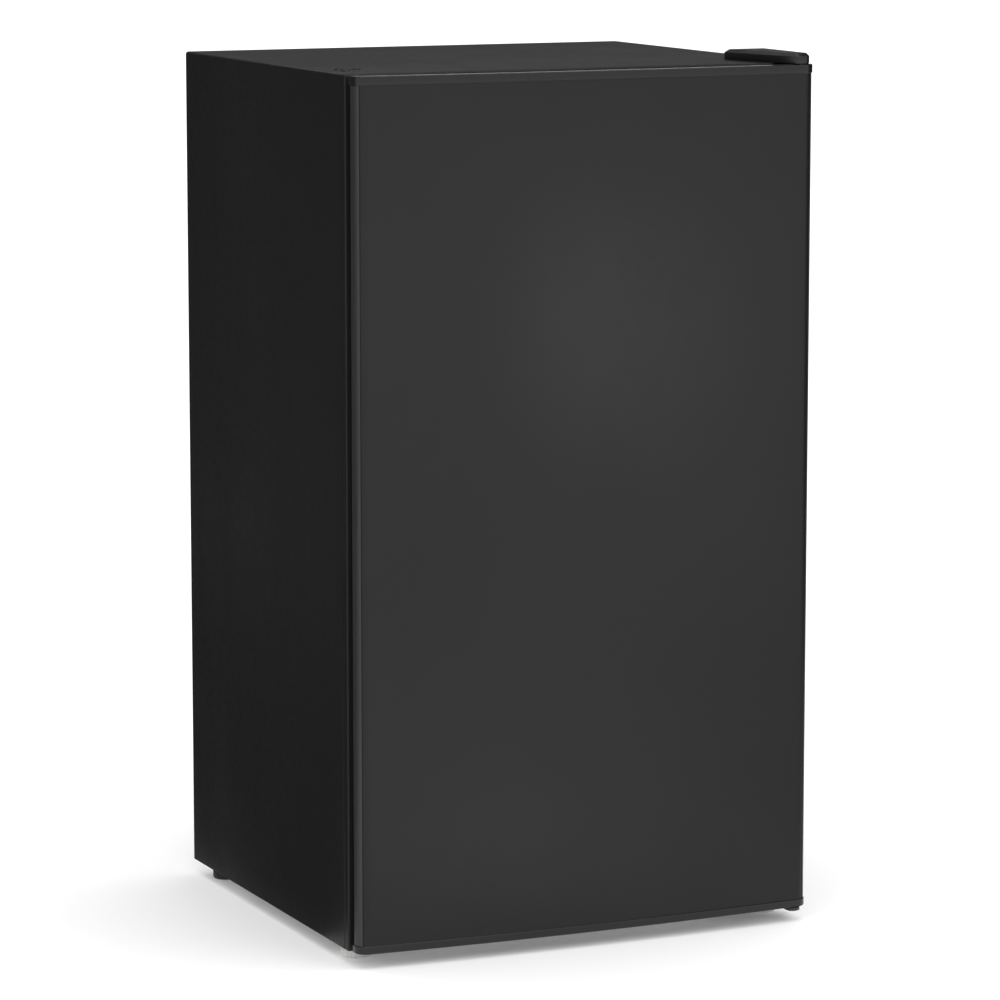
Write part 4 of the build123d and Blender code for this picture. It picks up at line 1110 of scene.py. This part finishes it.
@dataclass
class Machinery:
    """The compressor's welded can, its rubber mounts and the filter drier."""

    wardrobe: Wardrobe
    dome: float = 30.0 * MM
    bead_half: float = 2.5 * MM
    bead_reach: float = 2.4 * MM
    bead_level: float = 0.52
    bead_ripples: int = 96
    bead_ripple_depth: float = 0.35 * MM
    base_dish: float = 1.2 * MM
    crown_dish: float = 1.4 * MM
    crown_boss: float = 0.4 * MM
    mount_bore: float = 2.0 * MM
    drier_stub: float = 3.0 * MM
    drier_swage: float = 12.0 * MM

    def build_can(self) -> None:
        """Turn the can: two drawn shells with round shoulders and a weld bead between."""
        low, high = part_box("compressor_can")
        r, rise, dome = (high.x - low.x) / 2 - self.bead_reach, high.z - low.z, self.dome
        level, half = rise * self.bead_level, self.bead_half
        flat = r - dome
        profile = [(0.001, self.base_dish), (flat * 0.55, self.base_dish),
                   (flat * 0.7, 0.0), (flat, 0.0)]
        profile += [(flat + dome * s, dome * (1 - c)) for c, s in quarter(14)[1:]]
        profile += [(r, level - half * 1.6), (r + 0.5 * MM, level - half)]
        profile += [(r + self.bead_reach * c, level + half * s) for s, c in
                    ((-0.8, 0.6), (-0.4, 0.92), (0.0, 1.0), (0.4, 0.92), (0.8, 0.6))]
        profile += [(r + 0.5 * MM, level + half), (r, level + half * 1.2)]
        profile += [(flat + dome * c, rise - dome * (1 - s)) for c, s in quarter(14)]
        dish, boss = rise - self.crown_dish, rise - self.crown_boss
        profile += [(flat * 0.8, rise), (flat * 0.68, dish), (flat * 0.3, dish),
                    (flat * 0.2, boss), (0.001, boss)]
        centre = box_foot(low, high)
        can = Workshop.turned("compressor_shell", profile, centre, 384, self.bead_ripples,
                              self.bead_ripple_depth, 50.0)
        self.wardrobe.dress(can, "compressor_can")

    def build_mounts(self) -> None:
        """Turn the four waisted rubber mounts."""
        bm = bmesh.new()
        for low, high in Workshop.islands("compressor_grommets"):
            r, rise, bore = (high.x - low.x) / 2, high.z - low.z, self.mount_bore
            section = [(bore, 0.0), (r * 0.93, 0.0), (r, rise * 0.06), (r, rise * 0.28),
                       (r * 0.76, rise * 0.36), (r * 0.74, rise * 0.5), (r * 0.76, rise * 0.64),
                       (r * 0.94, rise * 0.72), (r * 0.94, rise * 0.94), (r * 0.88, rise),
                       (bore, rise)]
            centre = box_foot(low, high)
            Workshop.revolved(bm, section, centre)
        mounts = Workshop.piece("compressor_mount_rubbers", bm)
        self.wardrobe.dress(mounts, "compressor_grommets")

    def build_drier(self) -> None:
        """Turn the filter drier, its ends swaged down onto the pipes."""
        low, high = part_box("filter_drier")
        r, rise = (high.x - low.x) / 2, high.z - low.z
        stub, swage = self.drier_stub, self.drier_swage
        half = [(0.001, 0.0), (stub, 0.0), (stub, swage * 0.5), (stub * 1.15, swage * 0.62),
                (stub * 1.5, swage * 0.9), (r * 0.82, swage * 1.15), (r * 0.97, swage * 1.4),
                (r, swage * 1.7), (r, rise * 0.3), (r * 0.94, rise * 0.31),
                (r * 0.94, rise * 0.325), (r, rise * 0.335)]
        profile = half + [(x, rise - z) for x, z in reversed(half)]
        centre = box_foot(low, high)
        self.wardrobe.dress(Workshop.turned("drier_shell", profile, centre), "filter_drier")

    def build(self) -> None:
        """Make every piece."""
        self.build_can()
        self.build_mounts()
        self.build_drier()


class Rounding(Enum):
    """Edge roundings, in metres, for the pieces that keep their CAD form."""

    FINE = 0.25 * MM
    SMALL = 0.45 * MM
    MEDIUM = 0.8 * MM


@dataclass
class RoundedPieces:
    """Pieces that keep their CAD form, remade with rounded edges."""

    wardrobe: Wardrobe
    plan: dict[Rounding, tuple[str, ...]] = field(default_factory=lambda: {
        Rounding.FINE: ("base_pan", "compressor_tray", "front_crossmember", "top_hinge_plate",
                        "bottom_hinge_bracket", "compressor_feet_plate", "evaporator_box",
                        "rear_panel", "cord_gland", "inner_liner", "door_liner",
                        "spare_hole_plugs", "drip_tray", "evaporating_pan", "top_hinge_pin",
                        "bottom_hinge_pin", "door_bushes"),
        Rounding.SMALL: ("hinge_cover", "rear_feet", "condenser_brackets", "freezer_frame",
                         "drip_tray_rails", "door_bin_lower", "door_bin_middle",
                         "door_bin_upper", "crisper_drawer", "evaporator_hangers",
                         "crisper_cover_glass", "lower_shelf_glass", "upper_shelf_glass"),
        Rounding.MEDIUM: ("terminal_cover", "thermostat_housing", "thermostat_knob",
                          "freezer_flap", "crisper_cover_trim", "lower_shelf_trim",
                          "upper_shelf_trim"),
    })

    def build(self) -> None:
        """Remake every listed node."""
        for rounding, nodes in self.plan.items():
            for node in nodes:
                self.wardrobe.dress(Workshop.softened(node, rounding.value), node)


# ---- Studio ----
@dataclass
class Studio:
    """Pale floor, soft light and the camera."""

    azimuth: float = -24.29
    elevation: float = 8.82
    distance: float = 4.4056
    lens: float = 163.4
    aim: tuple[float, float, float] = (-0.0073, -0.0356, -0.0177)
    floor_size: float = 80.0
    floor_tone: float = 0.90
    floor_glow: float = 0.12
    card_lift: float = 2.0 * MM
    sky: float = 1.02
    sun: float = 1.1
    sun_spread: float = math.radians(80.0)
    sun_tilt: tuple[float, float, float] = (math.radians(24.0), math.radians(12.0), 0.0)

    def build_camera(self) -> None:
        """Stand the camera in front, to the left and a little above."""
        low, high = CAD_BOX
        target = (Vector(low) + Vector(high)) / 2 + Vector(self.aim)
        az, el = math.radians(self.azimuth), math.radians(self.elevation)
        away = Vector((math.sin(az) * math.cos(el), -math.cos(az) * math.cos(el), math.sin(el)))
        data = bpy.data.cameras.new("camera")
        data.lens = self.lens
        data.sensor_width = 36.0
        data.clip_end = 200.0
        camera = bpy.data.objects.new("camera", data)
        camera.location = target + away * self.distance
        camera.rotation_euler = (-away).to_track_quat("-Z", "Y").to_euler()
        bpy.context.scene.collection.objects.link(camera)
        bpy.context.scene.camera = camera

    def build_floor(self) -> None:
        """Lay a plain pale floor."""
        g = Graph("studio_floor")
        g.set(base_color=(self.floor_tone,) * 3, roughness=0.9, specular_ior_level=0.1,
              emission_color=(1.0, 1.0, 1.0), emission_strength=self.floor_glow)
        bm = bmesh.new()
        reach = self.floor_size / 2
        corners = [(-reach, -reach), (reach, -reach), (reach, reach), (-reach, reach)]
        bm.faces.new([bm.verts.new((x, y, 0.0)) for x, y in corners])
        floor = Workshop.piece("studio_floor", bm)
        floor.data.materials.append(g.material)

    @staticmethod
    def glow_faces(name: str, faces: Sequence[Sequence[tuple[float, float, float]]],
                   glow: float) -> None:
        """Make faces of even brightness that only show in reflections.

        Args:
            name: the card's name.
            faces: the corners of each face.
            glow: its brightness, 0 for black.
        """
        g = Graph(name)
        g.set(base_color=(0.0, 0.0, 0.0), roughness=1.0, specular_ior_level=0.0,
              emission_color=(1.0, 1.0, 1.0), emission_strength=glow)
        bm = bmesh.new()
        for corners in faces:
            bm.faces.new([bm.verts.new(corner) for corner in corners])
        card = Workshop.piece(name, bm)
        card.data.materials.append(g.material)
        card.visible_camera = False
        card.visible_diffuse = False
        card.visible_shadow = False
        card.visible_transmission = False
        card.visible_volume_scatter = False

    def card(self, name: str, path: Sequence[Point2], low: float, high: float,
             glow: float) -> None:
        """Stand a card along a path of (x, y) points, from one height to another."""
        self.glow_faces(name, [((*start, low), (*end, low), (*end, high), (*start, high))
                               for start, end in zip(path, path[1:])], glow)

    def floor_card(self, name: str, low: Point2, high: Point2, glow: float) -> None:
        """Lay a card on the floor between two opposite (x, y) corners."""
        flat = [(low[0], low[1]), (high[0], low[1]), (high[0], high[1]), (low[0], high[1])]
        self.glow_faces(name, [[(x, y, self.card_lift) for x, y in flat]], glow)

    def build_cards(self) -> None:
        """Stand the dark and bright cards that shape the reflections."""
        self.card("left_flag", ((-1.15, -0.4), (-1.3, 2.4), (-0.2, 2.5)), 0.0, 3.0, 0.075)
        self.card("back_flag", ((-0.2, 2.5), (2.6, 2.4)), 0.0, 6.5, 0.02)
        self.card("back_strip", ((-0.4, 2.35), (2.5, 2.35)), 1.66, 1.88, 1.6)
        self.card("right_flag", ((2.6, 2.4), (1.3, 0.6), (1.15, -0.9)), 0.0, 3.0, 0.02)
        self.floor_card("left_floor", (-1.2, -0.1), (-0.24, 2.4), 0.065)
        self.floor_card("right_floor", (0.42, -0.8), (1.2, -0.3), 0.5)
        self.floor_card("near_floor", (-0.12, -0.74), (0.2, -0.5), 2.6)
        self.card("window", ((0.22, -0.80), (0.38, -0.73)), 0.44, 0.61, 4.6)
        self.card("window_band", ((0.15, -0.86), (0.44, -0.73)), 0.36, 0.78, 1.1)
        self.card("spark", ((-0.10, -0.9), (0.05, -0.9)), 2.5, 2.62, 45.0)

    def build_lights(self) -> None:
        """Light the room softly and evenly, a little more from above and the front right."""
        scene = bpy.context.scene
        world = bpy.data.worlds.new("studio")
        world.use_nodes = True
        background = world.node_tree.nodes["Background"]
        background.inputs["Color"].default_value = (1.0, 1.0, 1.0, 1.0)
        background.inputs["Strength"].default_value = self.sky
        scene.world = world
        data = bpy.data.lights.new("overhead", "SUN")
        data.energy = self.sun
        data.angle = self.sun_spread
        sun = bpy.data.objects.new("overhead", data)
        sun.rotation_euler = self.sun_tilt
        scene.collection.objects.link(sun)
        scene.view_settings.view_transform = "Standard"
        scene.view_settings.look = "None"

    def build(self) -> None:
        """Set up the whole studio."""
        self.build_camera()
        self.build_floor()
        self.build_cards()
        self.build_lights()


def main() -> None:
    """Build the studio and every piece, in order."""
    Studio().build()
    wardrobe = Wardrobe()
    wardrobe.dress_frame()
    Cabinet(wardrobe).build()
    Door(wardrobe).build()
    Feet(wardrobe).build()
    Screws(wardrobe).build()
    Machinery(wardrobe).build()
    RoundedPieces(wardrobe).build()


if __name__ == "__main__":
    main()
